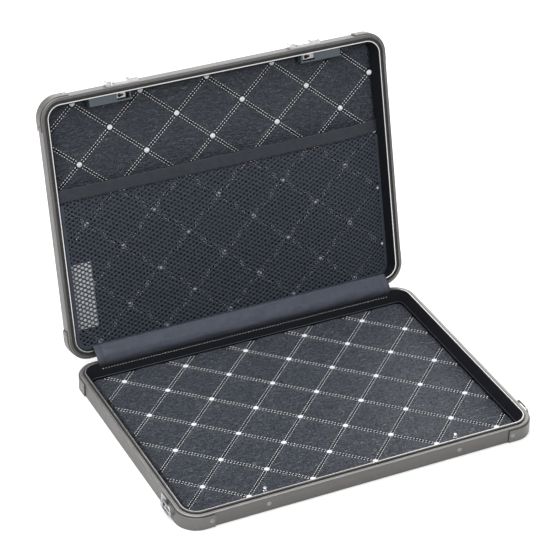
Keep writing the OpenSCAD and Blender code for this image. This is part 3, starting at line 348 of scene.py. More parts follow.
def edge_reach(quilt, x, y):
    """How far inside the cushion's outline a point lies; the notches count as outside."""
    qx = np.abs(x) - quilt["size"][0] / 2 + quilt["corner"]
    qy = np.abs(y) - quilt["size"][1] / 2 + quilt["corner"]
    outside = np.hypot(np.maximum(qx, 0), np.maximum(qy, 0))
    reach = quilt["corner"] - outside - np.minimum(np.maximum(qx, qy), 0)
    for near, far, low in quilt["notches"]:
        gap_x = np.maximum(np.maximum(near - x, x - far), 0)
        gap_y = np.maximum(low - y, 0)
        reach = np.minimum(reach, np.hypot(gap_x, gap_y))
    return reach


def read_points(mesh):
    points = np.empty(len(mesh.vertices) * 3, np.float32)
    mesh.vertices.foreach_get("co", points)
    return points.reshape(-1, 3).astype(float)


def write_points(mesh, points):
    mesh.vertices.foreach_set("co", points.astype(np.float32).ravel())
    mesh.update()


def make_piece(name, points, faces, material, smooth=True):
    """A new object from its points and faces."""
    mesh = bpy.data.meshes.new(name)
    mesh.from_pydata([tuple(point) for point in points], [], faces)
    mesh.materials.append(material)
    if smooth:
        mesh.polygons.foreach_set("use_smooth", [True] * len(mesh.polygons))
    piece = bpy.data.objects.new(name, mesh)
    bpy.context.collection.objects.link(piece)
    return piece


def quilting(quilt, x, y):
    """At each point: how far it is to the nearest seam and the nearest tuft, and the puff."""
    across, along = seam_phase(quilt, x, y)
    wide, deep = quilt["pitch"]
    seam = np.minimum(np.abs(across), np.abs(along)) * abs(wide * deep) / math.hypot(wide, deep)
    tuft = np.hypot((across + along) / 2 * wide, (across - along) / 2 * deep)
    return seam, tuft, np.abs(np.sin(across * math.pi / 2) * np.sin(along * math.pi / 2)) ** 0.45


def blow_up(pad, sewn):
    """Blows a flat cover up as a cloth held where it is sewn, and gives each point's rise."""
    pins = pad.vertex_groups.new(name="sewn")
    pins.add([int(k) for k in np.nonzero(sewn)[0]], 1.0, "REPLACE")
    cover = pad.modifiers.new("cover", "CLOTH")
    cover.settings.vertex_group_mass = "sewn"
    cover.settings.use_pressure = True
    cover.settings.uniform_pressure_force = 4
    cover.settings.shrink_min = -0.03
    cover.settings.quality = 4
    cover.settings.effector_weights.gravity = 0
    for step in range(1, 19):
        bpy.context.scene.frame_set(step)
    bpy.ops.object.modifier_apply(modifier="cover")
    blown = read_points(pad.data)[:, 2]
    return np.clip(blown / max(np.percentile(blown, 96), 1e-6), 0, 1.25)


def quilt_cover(quilt, name, material):
    """A cushion lying on z = 0: its cover is sewn down along the seams and closed underneath."""
    cell = 2.4 * mm
    (w, d), r = quilt["size"], quilt["corner"]
    bpy.ops.object.select_all(action="DESELECT")
    bpy.ops.mesh.primitive_grid_add(
        x_subdivisions=round(w / cell), y_subdivisions=round(d / cell), size=1)
    pad = bpy.context.object
    pad.name = name
    flat = read_points(pad.data) * (w, d, 1)
    for near, far, low in quilt["notches"]:
        for edge, axis in ((near, 0), (far, 0), (low, 1)):
            lines = np.unique(np.round(flat[:, axis], 6))
            nearest = lines[np.argmin(np.abs(lines - edge))]
            flat[np.abs(flat[:, axis] - nearest) < 1e-5, axis] = edge
    write_points(pad.data, flat)
    bpy.ops.object.mode_set(mode="EDIT")
    bpy.ops.mesh.select_mode(type="VERT")
    bpy.ops.mesh.select_all(action="DESELECT")
    bpy.ops.object.mode_set(mode="OBJECT")
    slack = 0.1 * mm
    for near, far, low in quilt["notches"]:
        inside = (flat[:, 0] > near + slack) & (flat[:, 0] < far - slack) & (flat[:, 1] > low + slack)
        for k in np.nonzero(inside)[0]:
            pad.data.vertices[int(k)].select = True
    bpy.ops.object.mode_set(mode="EDIT")
    bpy.ops.mesh.delete(type="VERT")
    bpy.ops.object.mode_set(mode="OBJECT")
    flat = read_points(pad.data)
    qx = np.abs(flat[:, 0]) - (w / 2 - r)
    qy = np.abs(flat[:, 1]) - (d / 2 - r)
    square = np.maximum(qx, qy)
    far = np.maximum(np.hypot(qx, qy), 1e-9)
    corner = (qx > 0) & (qy > 0)
    for axis, q, half in ((0, qx, w / 2), (1, qy, d / 2)):
        rounded = np.sign(flat[:, axis]) * (half - r + q * square / far)
        flat[:, axis] = np.where(corner, rounded, flat[:, axis])
    write_points(pad.data, flat)

    seam, _, rise = quilting(quilt, flat[:, 0], flat[:, 1])
    if not quilt["blown"]:
        rise = 0 * rise
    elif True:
        sewn = (seam < 1.4 * mm) | (edge_reach(quilt, flat[:, 0], flat[:, 1]) < 1.2 * mm)
        rise = blow_up(pad, sewn)
    write_points(pad.data, np.column_stack([flat[:, :2], rise]))

    bpy.ops.object.mode_set(mode="EDIT")
    bpy.ops.mesh.select_all(action="SELECT")
    bpy.ops.mesh.subdivide(number_cuts=1)
    bpy.ops.object.mode_set(mode="OBJECT")
    x, y, rise = read_points(pad.data).T
    seam, tuft, puff = quilting(quilt, x, y)
    reach = edge_reach(quilt, x, y)
    low, high = quilt["thick"]
    full = low + (high - low) * (0.5 * puff + 0.62 * rise)
    full -= 0.5 * mm * np.exp(-(seam / (0.9 * mm)) ** 2) * np.clip(tuft / (2 * mm) - 1, 0, 1)
    full -= 0.15 * mm * np.exp(-(tuft / (4 * mm)) ** 2)
    edge = 0.8 * mm
    drawn = np.clip(reach / (6 * mm), 0, 1)
    height = edge + (full - edge) * np.sqrt(1 - (1 - drawn) ** 2)
    tuck_x, tuck_y = 150 * mm, 108 * mm
    beside = np.clip((x - tuck_x) / (w / 2 - tuck_x), 0, 1) ** 2 * quilt["tuck"][0]
    rear = np.clip((y - tuck_y) / (d / 2 - tuck_y), 0, 1) ** 2 * quilt["tuck"][1]
    write_points(pad.data, np.column_stack([x - beside, y - rear, height]))
    # Painted shade: along the seams and round the cushion's edge, the cover's colour is darkened by
    # this amount.
    seam_and_edge_shade = pad.data.attributes.new("seam_and_edge_shade", "FLOAT", "POINT")
    painted_shade = np.exp(-(seam / (1.9 * mm)) ** 2) * 0.95 + 0.9 * np.exp(-(reach / (3.5 * mm)) ** 2)
    seam_and_edge_shade.data.foreach_set("value", np.clip(painted_shade, 0, 1).astype(np.float32))

    bpy.ops.object.mode_set(mode="EDIT")
    bpy.ops.mesh.select_all(action="DESELECT")
    bpy.ops.mesh.select_non_manifold()
    bpy.ops.mesh.extrude_region_move()
    bpy.ops.transform.resize(value=(1, 1, 0), center_override=(0, 0, 0))
    bpy.ops.mesh.edge_face_add()
    bpy.ops.mesh.select_all(action="SELECT")
    bpy.ops.mesh.normals_make_consistent(inside=False)
    bpy.ops.mesh.faces_shade_smooth()
    bpy.ops.object.mode_set(mode="OBJECT")
    pad.data.materials.append(material)
    return pad


def cushion_leather(name, color):
    """The cushions' leatherette, darkened along its pressed-down seams and round its edge as painted
    shade.
    """
    skin, tree, shader, place = start_material(name, Specular_IOR_Level=0.5)
    seam_and_edge_shade = put(tree, "ShaderNodeAttribute", attribute_name="seam_and_edge_shade").outputs["Fac"]
    tinted = scaled(tree, color, remap(tree, seam_and_edge_shade, (0.0, 1.0), (1.0, 0.02)))
    use_effect(tree, shader, pebbled, 1.7 * mm, {"Position": place, "Cells": 620.0, "Creases": 1.0,
                                                 "Color": tinted, "Roughness": 0.36})
    return skin


base_quilt = {
    "size": (364.8 * mm, 254.8 * mm), "corner": 9.4 * mm, "thick": (3.5 * mm, 5.4 * mm),
    "first": (-151.9 * mm, 106.7 * mm), "pitch": (34.7 * mm, 32.3 * mm), "count": (10, 8),
    "notches": (), "bare": (), "tuck": (0, 4 * mm), "blown": True,
}
base_pad_lies = Matrix.Translation((0, 0, 2.45 * mm))
base_skin = cushion_leather("base_cushion_skin", (0.04, 0.046, 0.059))
base_cushion = quilt_cover(base_quilt, "base_cushion", base_skin)

# ---- Base stitching ----
# Two rows of white lockstitch run beside every seam, from tuft to tuft. One stitch is a bent
# grain of thread, modelled once and copied along the rows, each lying on the cushion's cover.

thread_white = make_material(
    "thread_white", metal_grain, 0.05 * mm,
    {"Stretch": (2600, 900, 900), "Color": (0.88, 0.9, 0.94, 1), "Roughness": 0.45},
    Sheen_Weight=0.3)
bpy.ops.object.select_all(action="DESELECT")
bpy.ops.mesh.primitive_ico_sphere_add(subdivisions=1, radius=1)
one_stitch = bpy.context.object
stitch_points = read_points(one_stitch.data) * (1.12 * mm, 0.36 * mm, 0.34 * mm)
stitch_faces = np.array([list(face.vertices) for face in one_stitch.data.polygons])
bpy.data.objects.remove(one_stitch)


def copy_along(points, faces, places):
    """Copies of one small shape, each set down by its own origin and three axes."""
    origin, along, across, up = (np.array(part, float) for part in zip(*places))
    spread = (origin[:, None]
              + points[None, :, :1] * along[:, None]
              + points[None, :, 1:2] * across[:, None]
              + points[None, :, 2:] * up[:, None])
    shift = np.arange(len(places))[:, None, None] * len(points)
    return spread.reshape(-1, 3), (faces[None] + shift).reshape(-1, faces.shape[1])


def surface_of(piece):
    """A piece's faces, for rays to meet."""
    return BVHTree.FromPolygons([v.co for v in piece.data.vertices],
                                [list(p.vertices) for p in piece.data.polygons])


def sew(quilt, pad, name):
    """White stitches on the cushion's cover, in two rows beside every seam."""
    surface = surface_of(pad)
    apart, every, start = 1.4 * mm, 3.2 * mm, 4.1 * mm
    places = []
    nx, ny = quilt["count"]
    for i in range(-1, nx):
        for j in range(-1, ny):
            falls = (i + j) % 2 == 0
            x0 = quilt["first"][0] + quilt["pitch"][0] * i
            y0 = quilt["first"][1] - quilt["pitch"][1] * (j if falls else j + 1)
            step = Vector((quilt["pitch"][0], -quilt["pitch"][1] if falls else quilt["pitch"][1], 0))
            way = step.normalized()
            side = Vector((-way.y, way.x, 0))
            stitches = int((step.length - 2 * start) / every) + 1
            ends = (step.length - (stitches - 1) * every) / 2
            for k in range(stitches):
                for row in (-apart, apart):
                    at = Vector((x0, y0, 0)) + way * (ends + k * every) + side * row
                    beside = quilt["tuck"][0] if at.x > 0 else 0
                    rear = quilt["tuck"][1] if at.y > 0 else 0
                    if edge_reach(quilt, at.x + beside, at.y + rear) < 3.5 * mm:
                        continue
                    hit, normal, _, _ = surface.ray_cast(at + Vector((0, 0, 1)), Vector((0, 0, -1)))
                    slope = (way - normal * way.dot(normal)).normalized()
                    places.append((hit + normal * 0.12 * mm, slope, normal.cross(slope), normal))
    points, faces = copy_along(stitch_points, stitch_faces, places)
    return make_piece(name, points, faces.tolist(), thread_white)


base_stitching = sew(base_quilt, base_cushion, "base_stitching")

# ---- Base tufts ----
# Dots of satin stitch over the crossings, in a thread a little greyer than the seams': strands
# laid side by side, running front to back. One dot is modelled and copied.

tuft_thread = make_material(
    "tuft_thread", metal_grain, 0.1 * mm,
    {"Stretch": (2600, 500, 500), "Color": (0.74, 0.76, 0.8, 1), "Roughness": 0.4},
    Sheen_Weight=0.3)
tuft_radius = 3.0 * mm
strands = 7
bpy.ops.object.select_all(action="DESELECT")
bpy.ops.mesh.primitive_uv_sphere_add(segments=8, ring_count=6, radius=1)
one_strand = bpy.context.object
bpy.ops.object.mode_set(mode="EDIT")
bpy.ops.mesh.select_all(action="SELECT")
bpy.ops.mesh.quads_convert_to_tris()
bpy.ops.object.mode_set(mode="OBJECT")
strand_points = read_points(one_strand.data)[:, [0, 2, 1]] * (1, 1, -1)
strand_faces = np.array([list(face.vertices) for face in one_strand.data.polygons])
bpy.data.objects.remove(one_strand)
tuft_places = []
for k in range(strands):
    off = (2 * (k + 0.5) / strands - 1) * tuft_radius
    dome = math.sqrt(1 - (off / tuft_radius) ** 2)
    tuft_places.append(((off * 0.93, 0.05 * mm * (-1) ** k, 0),
                        (0.5 * mm, 0, 0), (0, tuft_radius * dome * 1.05, 0),
                        (0, 0, (0.35 + 0.75 * dome) * mm)))
tuft_points, tuft_faces = copy_along(strand_points, strand_faces, tuft_places)


def place_tufts(quilt, pad, name):
    """A thread dot over every crossing of the seams."""
    surface = surface_of(pad)
    places = []
    for j in range(quilt["count"][1]):
        for i in range(j % 2, quilt["count"][0], 2):
            at = Vector((quilt["first"][0] + quilt["pitch"][0] * i,
                         quilt["first"][1] - quilt["pitch"][1] * j, 0))
            if any(near < at.x < far and at.y > low for near, far, low in quilt["bare"]):
                continue
            hit = surface.ray_cast(at + Vector((0, 0, 1)), Vector((0, 0, -1)))[0]
            places.append((hit + Vector((0, 0, 0.4 * mm)), (1, 0, 0), (0, 1, 0), (0, 0, 1)))
    points, faces = copy_along(tuft_points, tuft_faces, places)
    return make_piece(name, points, faces.tolist(), tuft_thread)


def lay_down(cushion, stitching, dots, lies, body):
    """Puts a finished cushion with its threads in its place in the case."""
    for piece, node in ((cushion, "_pad"), (stitching, None), (dots, "_tufts")):
        piece.data.transform(lies)
        if node:
            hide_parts(body + node)
        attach(piece, body)


base_dots = place_tufts(base_quilt, base_cushion, "base_thread_dots")
lay_down(base_cushion, base_stitching, base_dots, base_pad_lies, "base")

# ---- Lid cushion, stitching and tufts ----
# The same quilting on thin foam, without the cloth's swell, glued into the lid and notched
# round the catch covers. It is built flat, turned over into the shut lid and opened with it.

lid_quilt = {
    "size": (372.4 * mm, 262.4 * mm), "corner": 13.2 * mm, "thick": (0.9 * mm, 3.1 * mm),
    "first": (-157.3 * mm, -128.4 * mm), "pitch": (37.3 * mm, -32.1 * mm), "count": (10, 9),
    "notches": ((-142.5 * mm, -96 * mm, 122.95 * mm), (96 * mm, 142.5 * mm, 122.95 * mm)),
    "bare": ((92.8 * mm, 145.7 * mm, 120.7 * mm), (-145.7 * mm, -92.8 * mm, 120.7 * mm)),
    "tuck": (5.5 * mm, 0), "blown": False,
}
lid_pad_lies = (
    shut_to_open @ Matrix.Translation((0, 0, 27.85 * mm)) @ Matrix.Rotation(math.pi, 4, "X")
)
# The lid's cushion gets a darker copy of the base cushion's leatherette colour: painted shade.
lid_skin = cushion_leather("lid_cushion_skin", (0.03, 0.0355, 0.048))
lid_cushion = quilt_cover(lid_quilt, "lid_cushion", lid_skin)
lid_stitching = sew(lid_quilt, lid_cushion, "lid_stitching")
lid_dots = place_tufts(lid_quilt, lid_cushion, "lid_thread_dots")
lay_down(lid_cushion, lid_stitching, lid_dots, lid_pad_lies, "lid")

# ---- Base lining ----
# Foam-backed black cloth that slopes from under the rim down to the cushion all round. It is
# swept round the rails, with slight wrinkles, and cut away at the two keepers. A row of short
# white stitches runs along its rear slope, under the hinge cover.

cloth_weave, into = start_effect("cloth_weave", Threads="Float")
grid = scaled(cloth_weave, into["Position"], into["Threads"])
across, along = [
    put(cloth_weave, "ShaderNodeTexWave", {"Vector": grid, "Scale": 1.0, "Distortion": 0.6},
        bands_direction=way).outputs["Fac"] for way in ("X", "DIAGONAL")]
weave = reckon(cloth_weave, "MAXIMUM", across, along)
fuzz = put(cloth_weave, "ShaderNodeTexNoise",
           {"Vector": into["Position"], "Scale": 160.0, "Detail": 5.0, "Roughness": 0.6}).outputs[0]
tone = reckon(cloth_weave, "MULTIPLY_ADD", weave, 0.45, fuzz)
shade = remap(cloth_weave, tone, (0.35, 1.0), (0.6, 1.35))
finish_effect(cloth_weave, scaled(cloth_weave, into["Color"], shade),
              reckon(cloth_weave, "MULTIPLY_ADD", fuzz, 0.12, into["Roughness"]), tone)

lining_black = make_material(
    "lining_black", cloth_weave, 0.12 * mm,
    {"Threads": 420.0, "Color": (0.004, 0.0045, 0.0065, 1), "Roughness": 0.85},
    Specular_IOR_Level=0.15)


def rail_stations(step, breaks):
    """Points round the case, as the centre and direction of each; x in breaks are exact."""
    cx, cy = half_width - rail_corner, half_depth - rail_corner
    stations = []
    for side in range(4):
        way = side * math.pi / 2
        run = cy if side % 2 == 0 else cx
        count = math.ceil(2 * run / step)
        marks = sorted(set([-run + 2 * run * k / count for k in range(count + 1)]
                           + [s for s in breaks if side == 3]))
        for s in marks:
            if side == 0:
                centre = (cx, s)
            elif side == 1:
                centre = (-s, cy)
            elif side == 2:
                centre = (-cx, -s)
            else:
                centre = (s, -cy)
            stations.append((*centre, math.cos(way), math.sin(way)))
        turns = 14
        end = ((cx, cy), (-cx, cy), (-cx, -cy), (cx, -cy))[side]
        for k in range(1, turns):
            a = way + math.pi / 2 * k / turns
            stations.append((*end, math.cos(a), math.sin(a)))
    return stations


def face_outward(piece):
    """Makes a piece the active one and turns its faces outward."""
    bpy.ops.object.select_all(action="DESELECT")
    piece.select_set(True)
    bpy.context.view_layer.objects.active = piece
    bpy.ops.object.mode_set(mode="EDIT")
    bpy.ops.mesh.select_all(action="SELECT")
    bpy.ops.mesh.normals_make_consistent(inside=False)
    bpy.ops.object.mode_set(mode="OBJECT")


def sweep_round(name, profile, keep, breaks, material, ripple=0.0, foot=0.0):
    """A closed strip swept round the rails. Its profile is (inset, height) points in order.
    Along the back, points low in the profile reach in further, by foot at the most."""
    foot_from, foot_over = 6.35 * mm, 6 * mm
    stations = rail_stations(4 * mm, breaks)
    runs, run = [], []
    for station in stations:
        x, y = station[0] + rail_corner * station[2], station[1] + rail_corner * station[3]
        if keep(x, y):
            run.append(station)
        elif run:
            runs.append(run)
            run = []
    closed = not runs
    if run and runs and keep(stations[0][0] + rail_corner, stations[0][1]):
        runs[0] = run + runs[0]
    elif run:
        runs.append(run)
    points, faces = [], []
    rows = len(profile)
    for run in runs:
        first = len(points)
        for cx, cy, dx, dy in run:
            for inset, z in profile:
                drawn_in = foot * max(dy, 0) ** 2 * (inset - foot_from) / foot_over
                reach = rail_corner - inset - drawn_in
                wave = 0
                if ripple and z > profile[0][1]:
                    where = Vector((cx + dx * reach, cy + dy * reach, z)) * 90
                    wave = ripple * noise.noise(where)
                points.append((cx + dx * (reach - wave), cy + dy * (reach - wave), z + wave * 0.5))
        total = len(run)
        for k in range(total if closed else total - 1):
            here, there = first + k * rows, first + (k + 1) % total * rows
            for row in range(rows):
                up = (row + 1) % rows
                faces.append((here + row, here + up, there + up, there + row))
        if not closed:
            faces.append([first + row for row in range(rows)][::-1])
            faces.append([first + (total - 1) * rows + row for row in range(rows)])
    piece = make_piece(name, points, faces, material)
    face_outward(piece)
    bpy.ops.object.shade_smooth_by_angle(angle=math.radians(40))
    return piece


keeper_cuts = [s * (105.5 + t) * mm for s in (-1, 1) for t in (-6, 6)]


def beside_keepers(x, y):
    return y > -130 * mm or not 99.6 * mm < abs(x) < 111.4 * mm


slope = [(7.05 + 5.25 * t, 16.5 - 9.5 * t + 0.5 * math.sin(math.pi * t))
         for t in (0.0, 0.12, 0.3, 0.5, 0.7, 0.88, 1.0)]
base_lining = sweep_round(
    "base_lining",
    [(i * mm, z * mm) for i, z in [(12.3, 2.45), (6.35, 2.45), (6.35, 16.5), *slope]],
    beside_keepers, keeper_cuts, lining_black, ripple=0.25 * mm, foot=4 * mm)
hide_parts("base_liner")
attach(base_lining, "base")
lining_wall = surface_of(base_lining)
seam_height, seam_left, seam_right, cast_from = 12.8 * mm, -166 * mm, 169 * mm, 110 * mm
run = Vector((1, 0, 0))
seam_places = []
for x in np.arange(seam_left, seam_right, 3.2 * mm):
    hit, normal, _, _ = lining_wall.ray_cast(Vector((x, cast_from, seam_height)), Vector((0, 1, 0)))
    if normal.y > 0:
        normal = -normal
    seam_places.append((hit, run, normal.cross(run), normal))
points, faces = copy_along(stitch_points * (0.85, 0.6, 0.7), stitch_faces, seam_places)
lining_seam = make_piece("lining_seam", points, faces.tolist(), thread_white)
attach(lining_seam, "base")

# ---- Base piping ----
# A thin cord in the lining's weave, sewn where the lining meets the cushion. Its colour is lighter than
# the lining's: a painted highlight along the cushion's edge.

piping_highlight = make_material(
    "piping_highlight", cloth_weave, 0.1 * mm,
    {"Threads": 1100.0, "Color": (0.03, 0.033, 0.042, 1), "Roughness": 0.6},
    Specular_IOR_Level=0.3)
bead = [(math.cos(a), math.sin(a)) for a in np.arange(8) * math.pi / 4]
piping = sweep_round(
    "base_piping", [((12.45 + 0.35 * a) * mm, (7.0 + 0.35 * b) * mm) for a, b in bead],
    beside_keepers, keeper_cuts, piping_highlight, foot=4 * mm)
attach(piping, "base")

# ---- Lid lining ----
# A thin black cloth on card, standing inside the lid's rails between the seal's lip and the
# board, and cut away where the catches come through. On the right it slopes in to the cushion.

cover_cuts = [s * x * mm for s in (-1, 1) for x in (96.1, 142.4)]


def beside_covers(x, y):
    return y > -130 * mm or not 96.2 * mm < abs(x) < 142.3 * mm


lid_lining = sweep_round(
    "lid_lining",
    [(i * mm, lid_rim + h * mm) for i, h in
     [(7.85, 11.05), (7.85, 0.7), (8.55, 0.7), (8.6, 3.5), (8.6, 7), (8.55, 11.05)]],
    beside_covers, cover_cuts, lining_black, ripple=0.05 * mm)
wall = read_points(lid_lining.data)
wall_top, wall_height, slope_from, slope_over = 17.5 * mm, 10.35 * mm, 150 * mm, 36.4 * mm
deep = np.clip((wall[:, 2] - wall_top) / wall_height, 0, 1)
beside = np.clip((wall[:, 0] - slope_from) / slope_over, 0, 1) ** 2
inner_face = np.arange(len(wall)) % 6 > 1  # the profile's first two points are its back
wall[:, 0] -= lid_quilt["tuck"][0] * deep * beside * inner_face
write_points(lid_lining.data, wall)
lid_lining.data.transform(shut_to_open)
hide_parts("lid_liner")
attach(lid_lining, "lid")

# ---- Pocket net ----
# A honeycomb knit of dark nylon, stretched across the lid and bound along three sides. Each
# mesh of the knit is a six-sided ring of thread that shares its corners with its neighbours.

net_thread = make_material(
    "net_thread", cloth_weave, 0.1 * mm,
    {"Threads": 1500.0, "Color": (0.032, 0.038, 0.053, 1), "Roughness": 0.6},
    Specular_IOR_Level=0.3)
net_left, net_right, net_front, net_back = -186.25 * mm, 186.25 * mm, -30.9 * mm, 131.25 * mm
net_corner = 13.25 * mm
mid = lid_rim + 2.0 * mm
ring = np.array([(2.85, 0), (1.05, 2.45), (-1.05, 2.45), (-2.85, 0), (-1.05, -2.45), (1.05, -2.45)])
hole = np.array([(2.05, 0), (0.8, 1.4), (-0.8, 1.4), (-2.05, 0), (-0.8, -1.4), (0.8, -1.4)])
column, row_step = 3.9 * mm, 4.9 * mm
points, faces, shared = [], [], {}


def net_height(x, y):
    """The net isn't quite flat: it rises and falls a little, at random."""
    return mid - 0.18 * mm * noise.noise(Vector((x, y, 0)) * 22)


for c in range(int((net_right - net_left) / column) - 1):
    for r in range(int((net_back - net_front) / row_step) + 1):
        cx = net_left + (c + 1.1) * column
        cy = net_front + (r + 0.35 + 0.5 * (c % 2)) * row_step
        qx, qy = abs(cx) - (net_right - net_corner), cy - (net_back - net_corner)
        reach = net_corner - math.hypot(max(qx, 0), max(qy, 0)) - min(max(qx, qy), 0)
        if reach < 1.8 * mm or cy < net_front + 0.2 * mm:
            continue
        outer, inner = [], []
        for x, y in ring * mm:
            key = (round((cx + x) / mm * 10), round((cy + y) / mm * 10))
            if key not in shared:
                z = net_height(cx + x, cy + y)
                shared[key] = len(points)
                points += [(cx + x, cy + y, z + 0.38 * mm), (cx + x, cy + y, z - 0.38 * mm)]
            outer.append(shared[key])
        for x, y in hole * mm:
            inner.append(len(points))
            points.append((cx + x, cy + y, net_height(cx, cy)))
        for k in range(6):
            n = (k + 1) % 6
            faces.append((outer[k], outer[n], inner[n], inner[k]))
            faces.append((inner[k], inner[n], outer[n] + 1, outer[k] + 1))
borders = dict.fromkeys(edge for face in faces for edge in zip(face, face[1:] + face[:1]))
tops = set(shared.values())
for a, b in [edge for edge in borders if (edge[1], edge[0]) not in borders]:
    if a in tops and b in tops:
        faces.append((b, a, a + 1, b + 1))
net = make_piece("net", points, faces, net_thread, smooth=False)
net_binding = sweep_round(
    "net_binding",
    [(i * mm, lid_rim + h * mm) for i, h in
     [(8.75, 1.5), (12.6, 1.45), (12.9, 2.0), (12.6, 2.55), (8.75, 2.5)]],
    lambda x, y: y > net_front, [], net_thread)


def settle(piece):
    """The net's right side dips to the cushion's edge, where the lining slopes in to meet it."""
    dips_from, inwards, deeper = 120 * mm, 4.4 * mm, 7.3 * mm
    points = read_points(piece.data)
    share = np.clip((points[:, 0] - dips_from) / (net_right - dips_from), 0, 1) ** 2
    points[:, 0] -= inwards * share
    points[:, 2] += deeper * share
    write_points(piece.data, points)


for piece in (net, net_binding):
    settle(piece)
    piece.data.transform(shut_to_open)
    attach(piece, "lid")
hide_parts("pocket_net")

# ---- Pocket band ----
# Flat ribbed elastic sewn along the net's open edge; its ribs run the length of the band.

band_rib = make_material(
    "band_rib", cloth_weave, 0.1 * mm,
    {"Threads": 900.0, "Color": (0.025, 0.028, 0.036, 1), "Roughness": 0.65},
    Specular_IOR_Level=0.3)
band_front, band_back = -44 * mm, -31 * mm
ribs, per_rib, stops = 9, 6, 60
profile = []
for k in range(ribs * per_rib + 1):
    t = k / (ribs * per_rib)
    swell = 0.5 * mm + 0.1 * mm * math.cos(2 * math.pi * k / per_rib)
    profile.append((band_front + (band_back - band_front) * t, swell * min(1, 0.3 + 8 * min(t, 1 - t))))
section = profile + [(y, -z) for y, z in reversed(profile)]
points, faces = [], []
for k in range(stops + 1):
    x = net_left + (net_right - net_left) * k / stops
    for y, z in section:
        points.append((x, y, mid + z + 0.15 * mm * noise.noise(Vector((x, y, 0)) * 14)))
rows = len(section)
for k in range(stops):
    for row in range(rows):
        up = (row + 1) % rows
        faces.append((k * rows + row, (k + 1) * rows + row, (k + 1) * rows + up, k * rows + up))
faces += [list(range(rows)), [stops * rows + row for row in range(rows)][::-1]]
band = make_piece("band", points, faces, band_rib)
settle(band)
band.data.transform(shut_to_open)
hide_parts("pocket_band")
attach(band, "lid")

# ---- Pocket card ----
# A plain white card behind the net, with the fine tooth of uncoated board.

paper_tooth, into = start_effect("paper_tooth")
tooth = put(paper_tooth, "ShaderNodeTexNoise",
            {"Vector": into["Position"], "Scale": 1800.0, "Detail": 4.0,
             "Roughness": 0.7}).outputs[0]
shade = remap(paper_tooth, tooth, (0.3, 0.7), (0.94, 1.04))
finish_effect(paper_tooth, scaled(paper_tooth, into["Color"], shade), into["Roughness"], tooth)
card_white = make_material("card_white", paper_tooth, 0.02 * mm,
                           {"Color": (0.98, 0.98, 0.975, 1), "Roughness": 0.6})
finish_nodes(card_white, ["pocket_label"])

# ---- Hinge cover ----
# Dark satin cloth that bridges the two rims inside the hinge, hemmed at both ends. It is glued
# under the base's lining and to the lid's board.

hinge_satin, tree, shader, place = start_material("hinge_satin", Specular_IOR_Level=0.4)
# The cloth's colour is darkened along the hem lines and toward its lower edge: painted shade.
painted_hem_shade = put(tree, "ShaderNodeAttribute", attribute_name="hem_and_low_shade").outputs["Fac"]
tinted = scaled(tree, (0.029, 0.035, 0.052), remap(tree, painted_hem_shade, (0.0, 1.0), (1.0, 0.2)))
use_effect(tree, shader, cloth_weave, 0.08 * mm,
           {"Position": place, "Threads": 1200.0, "Color": tinted, "Roughness": 0.42})


def lid_point(v, h):
    """A point of the opened lid, v in from its back edge and h above its rim, in millimetres."""
    y, z = -2.5 - v, 0.15 + h
    return (142.5 + y * math.cos(open_angle) + z * math.sin(open_angle),
            16.65 - y * math.sin(open_angle) + z * math.cos(open_angle))


fixed = [(131.05, 13.3), (131.7, 16.4), (132.9, 19.4), (135.6, 22.8), (139.4, 25.4),
         lid_point(8.6, -1.9), lid_point(10.4, -0.4), lid_point(11.8, 1.0)]
fixed = np.array([fixed[0], *fixed, fixed[-1]])
steps = 6
path = []
for k in range(len(fixed) - 3):
    a, b, c, d = fixed[k:k + 4]
    for t in np.arange(0, 1, 1 / steps):
        path.append(0.5 * (2 * b + (c - a) * t + (2 * a - 5 * b + 4 * c - d) * t ** 2
                           + (3 * b - a - 3 * c + d) * t ** 3))
path = np.array(path + [fixed[-2]])
tangent = np.gradient(path, axis=0)
outward = np.column_stack([-tangent[:, 1], tangent[:, 0]])
outward /= np.linalg.norm(outward, axis=1)[:, None]
left, right, stops = -170.0, 173.0, 190
points = []
for k in range(stops + 1):
    x = left + (right - left) * k / stops
    for row, (at, way) in enumerate(zip(path, outward)):
        free = math.sin(math.pi * row / (len(path) - 1))
        from_end = min(x - left, right - x)
        fold = 0.3 * (1 / (1 + math.exp((from_end - 6) * 4)))
        wrinkle = 0.9 * free * noise.noise(Vector((x * 0.04, row * 0.07, 3)))
        wrinkle += 0.4 * free * noise.noise(Vector((x * 0.13, row * 0.1, 7)))
        hem_line = 0.5 * math.exp(-((from_end - 6.5) / 0.6) ** 2)
        y, z = at + way * (wrinkle + fold * 1.3 - hem_line)
        points.append((x * mm, y * mm, z * mm))
rows = len(path)
faces = [(k * rows + row, (k + 1) * rows + row, (k + 1) * rows + row + 1, k * rows + row + 1)
         for k in range(stops) for row in range(rows - 1)]
hinge_cloth = make_piece("hinge_cloth", points, faces, hinge_satin)
# Painted shade: strongest along the hem lines and growing below 20.5 mm, toward the lower edge.
hem_and_low_shade = hinge_cloth.data.attributes.new("hem_and_low_shade", "FLOAT", "POINT")
hem_and_low_shade.data.foreach_set("value", [
    min(1, math.exp(-((min(x / mm - left, right - x / mm) - 6.5) / 0.7) ** 2)
        + max(0, (20.5 - z / mm) / 5)) for x, y, z in points])
bpy.ops.object.select_all(action="DESELECT")
hinge_cloth.select_set(True)
bpy.context.view_layer.objects.active = hinge_cloth
solidify = hinge_cloth.modifiers.new("thickness", "SOLIDIFY")
solidify.thickness = 0.6 * mm
solidify.offset = 0
bpy.ops.object.modifier_apply(modifier="thickness")
face_outward(hinge_cloth)
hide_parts("hinge_cover")
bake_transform(hinge_cloth)

# ---- Studio ----
# A white floor and world, brighter to the camera than to the case, and three soft lamps, seen
# through a long lens from the front left.

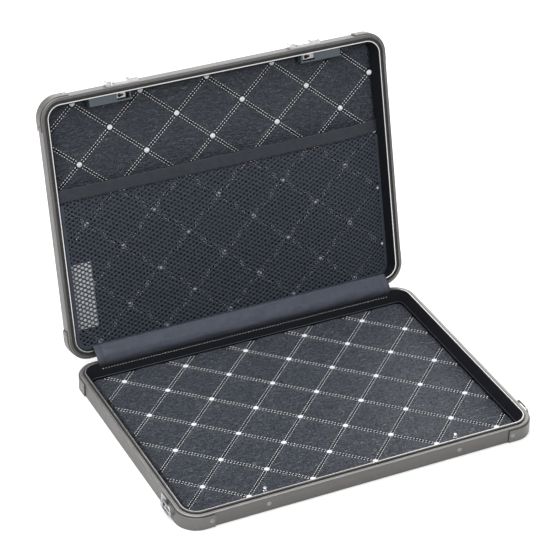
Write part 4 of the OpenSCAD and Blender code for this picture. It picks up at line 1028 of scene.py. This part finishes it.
bpy.ops.object.camera_add(location=(-0.94621, -1.79058, 1.46212))
camera = bpy.context.object
camera.name = "camera"
camera.rotation_mode = "QUATERNION"
yaw, pitch, roll = 0.4731, 0.5736, 0.0307
camera.rotation_quaternion = (
    Matrix.Rotation(-yaw, 4, "Z")
    @ Matrix.Rotation(math.pi / 2 - pitch, 4, "X")
    @ Matrix.Rotation(roll, 4, "Z")
).to_quaternion()
camera.data.sensor_width = 36
camera.data.lens = 156.45
camera.data.clip_end = 20
bpy.context.scene.camera = camera
bpy.context.scene.view_settings.view_transform = "Standard"
bpy.ops.mesh.primitive_plane_add(size=8, location=(0, 0, -0.0005))
floor = bpy.context.object
floor.name = "studio_floor"
studio_white = bpy.data.materials.new("studio_white")
studio_white.use_nodes = True
tree = studio_white.node_tree
shader = tree.nodes["Principled BSDF"]
shader.inputs["Base Color"].default_value = (0.86, 0.86, 0.86, 1)
shader.inputs["Roughness"].default_value = 0.9
shader.inputs["Emission Color"].default_value = (1, 1, 1, 1)
rays = put(tree, "ShaderNodeLightPath").outputs
seen = reckon(tree, "MAXIMUM", rays["Is Camera Ray"], rays["Is Glossy Ray"])
tree.links.new(reckon(tree, "MULTIPLY", seen, 0.28), shader.inputs["Emission Strength"])
floor.data.materials.append(studio_white)
world = bpy.data.worlds.new("studio_world")
bpy.context.scene.world = world
world.use_nodes = True
world.node_tree.nodes["Background"].inputs["Color"].default_value = (1, 1, 1, 1)
tree = world.node_tree
rays = put(tree, "ShaderNodeLightPath").outputs
mirrored = reckon(tree, "MAXIMUM", rays["Is Glossy Ray"], rays["Is Transmission Ray"])
seen = reckon(tree, "MAXIMUM", rays["Is Camera Ray"], mirrored)
tree.links.new(reckon(tree, "MULTIPLY_ADD", seen, 0.6, 0.4),
               tree.nodes["Background"].inputs["Strength"])
for name, location, turn, size, energy in (
        ("overhead_lamp", (-0.3, 0.5, 2.2), (-12, -8, 0), (2.4, 1.8), 50),
        ("front_softbox", (-1.0, -1.3, 2.3), (37, 0, -38), (2.4, 1.8), 40),
        ("rear_softbox", (1.2, 2.3, 0.95), (-70, 0, -27), (2.6, 1.7), 18)):
    bpy.ops.object.light_add(type="AREA", location=location)
    lamp = bpy.context.object
    lamp.name = name
    lamp.rotation_euler = [math.radians(angle) for angle in turn]
    lamp.data.shape = "RECTANGLE"
    lamp.data.size, lamp.data.size_y = size
    lamp.data.energy = energy
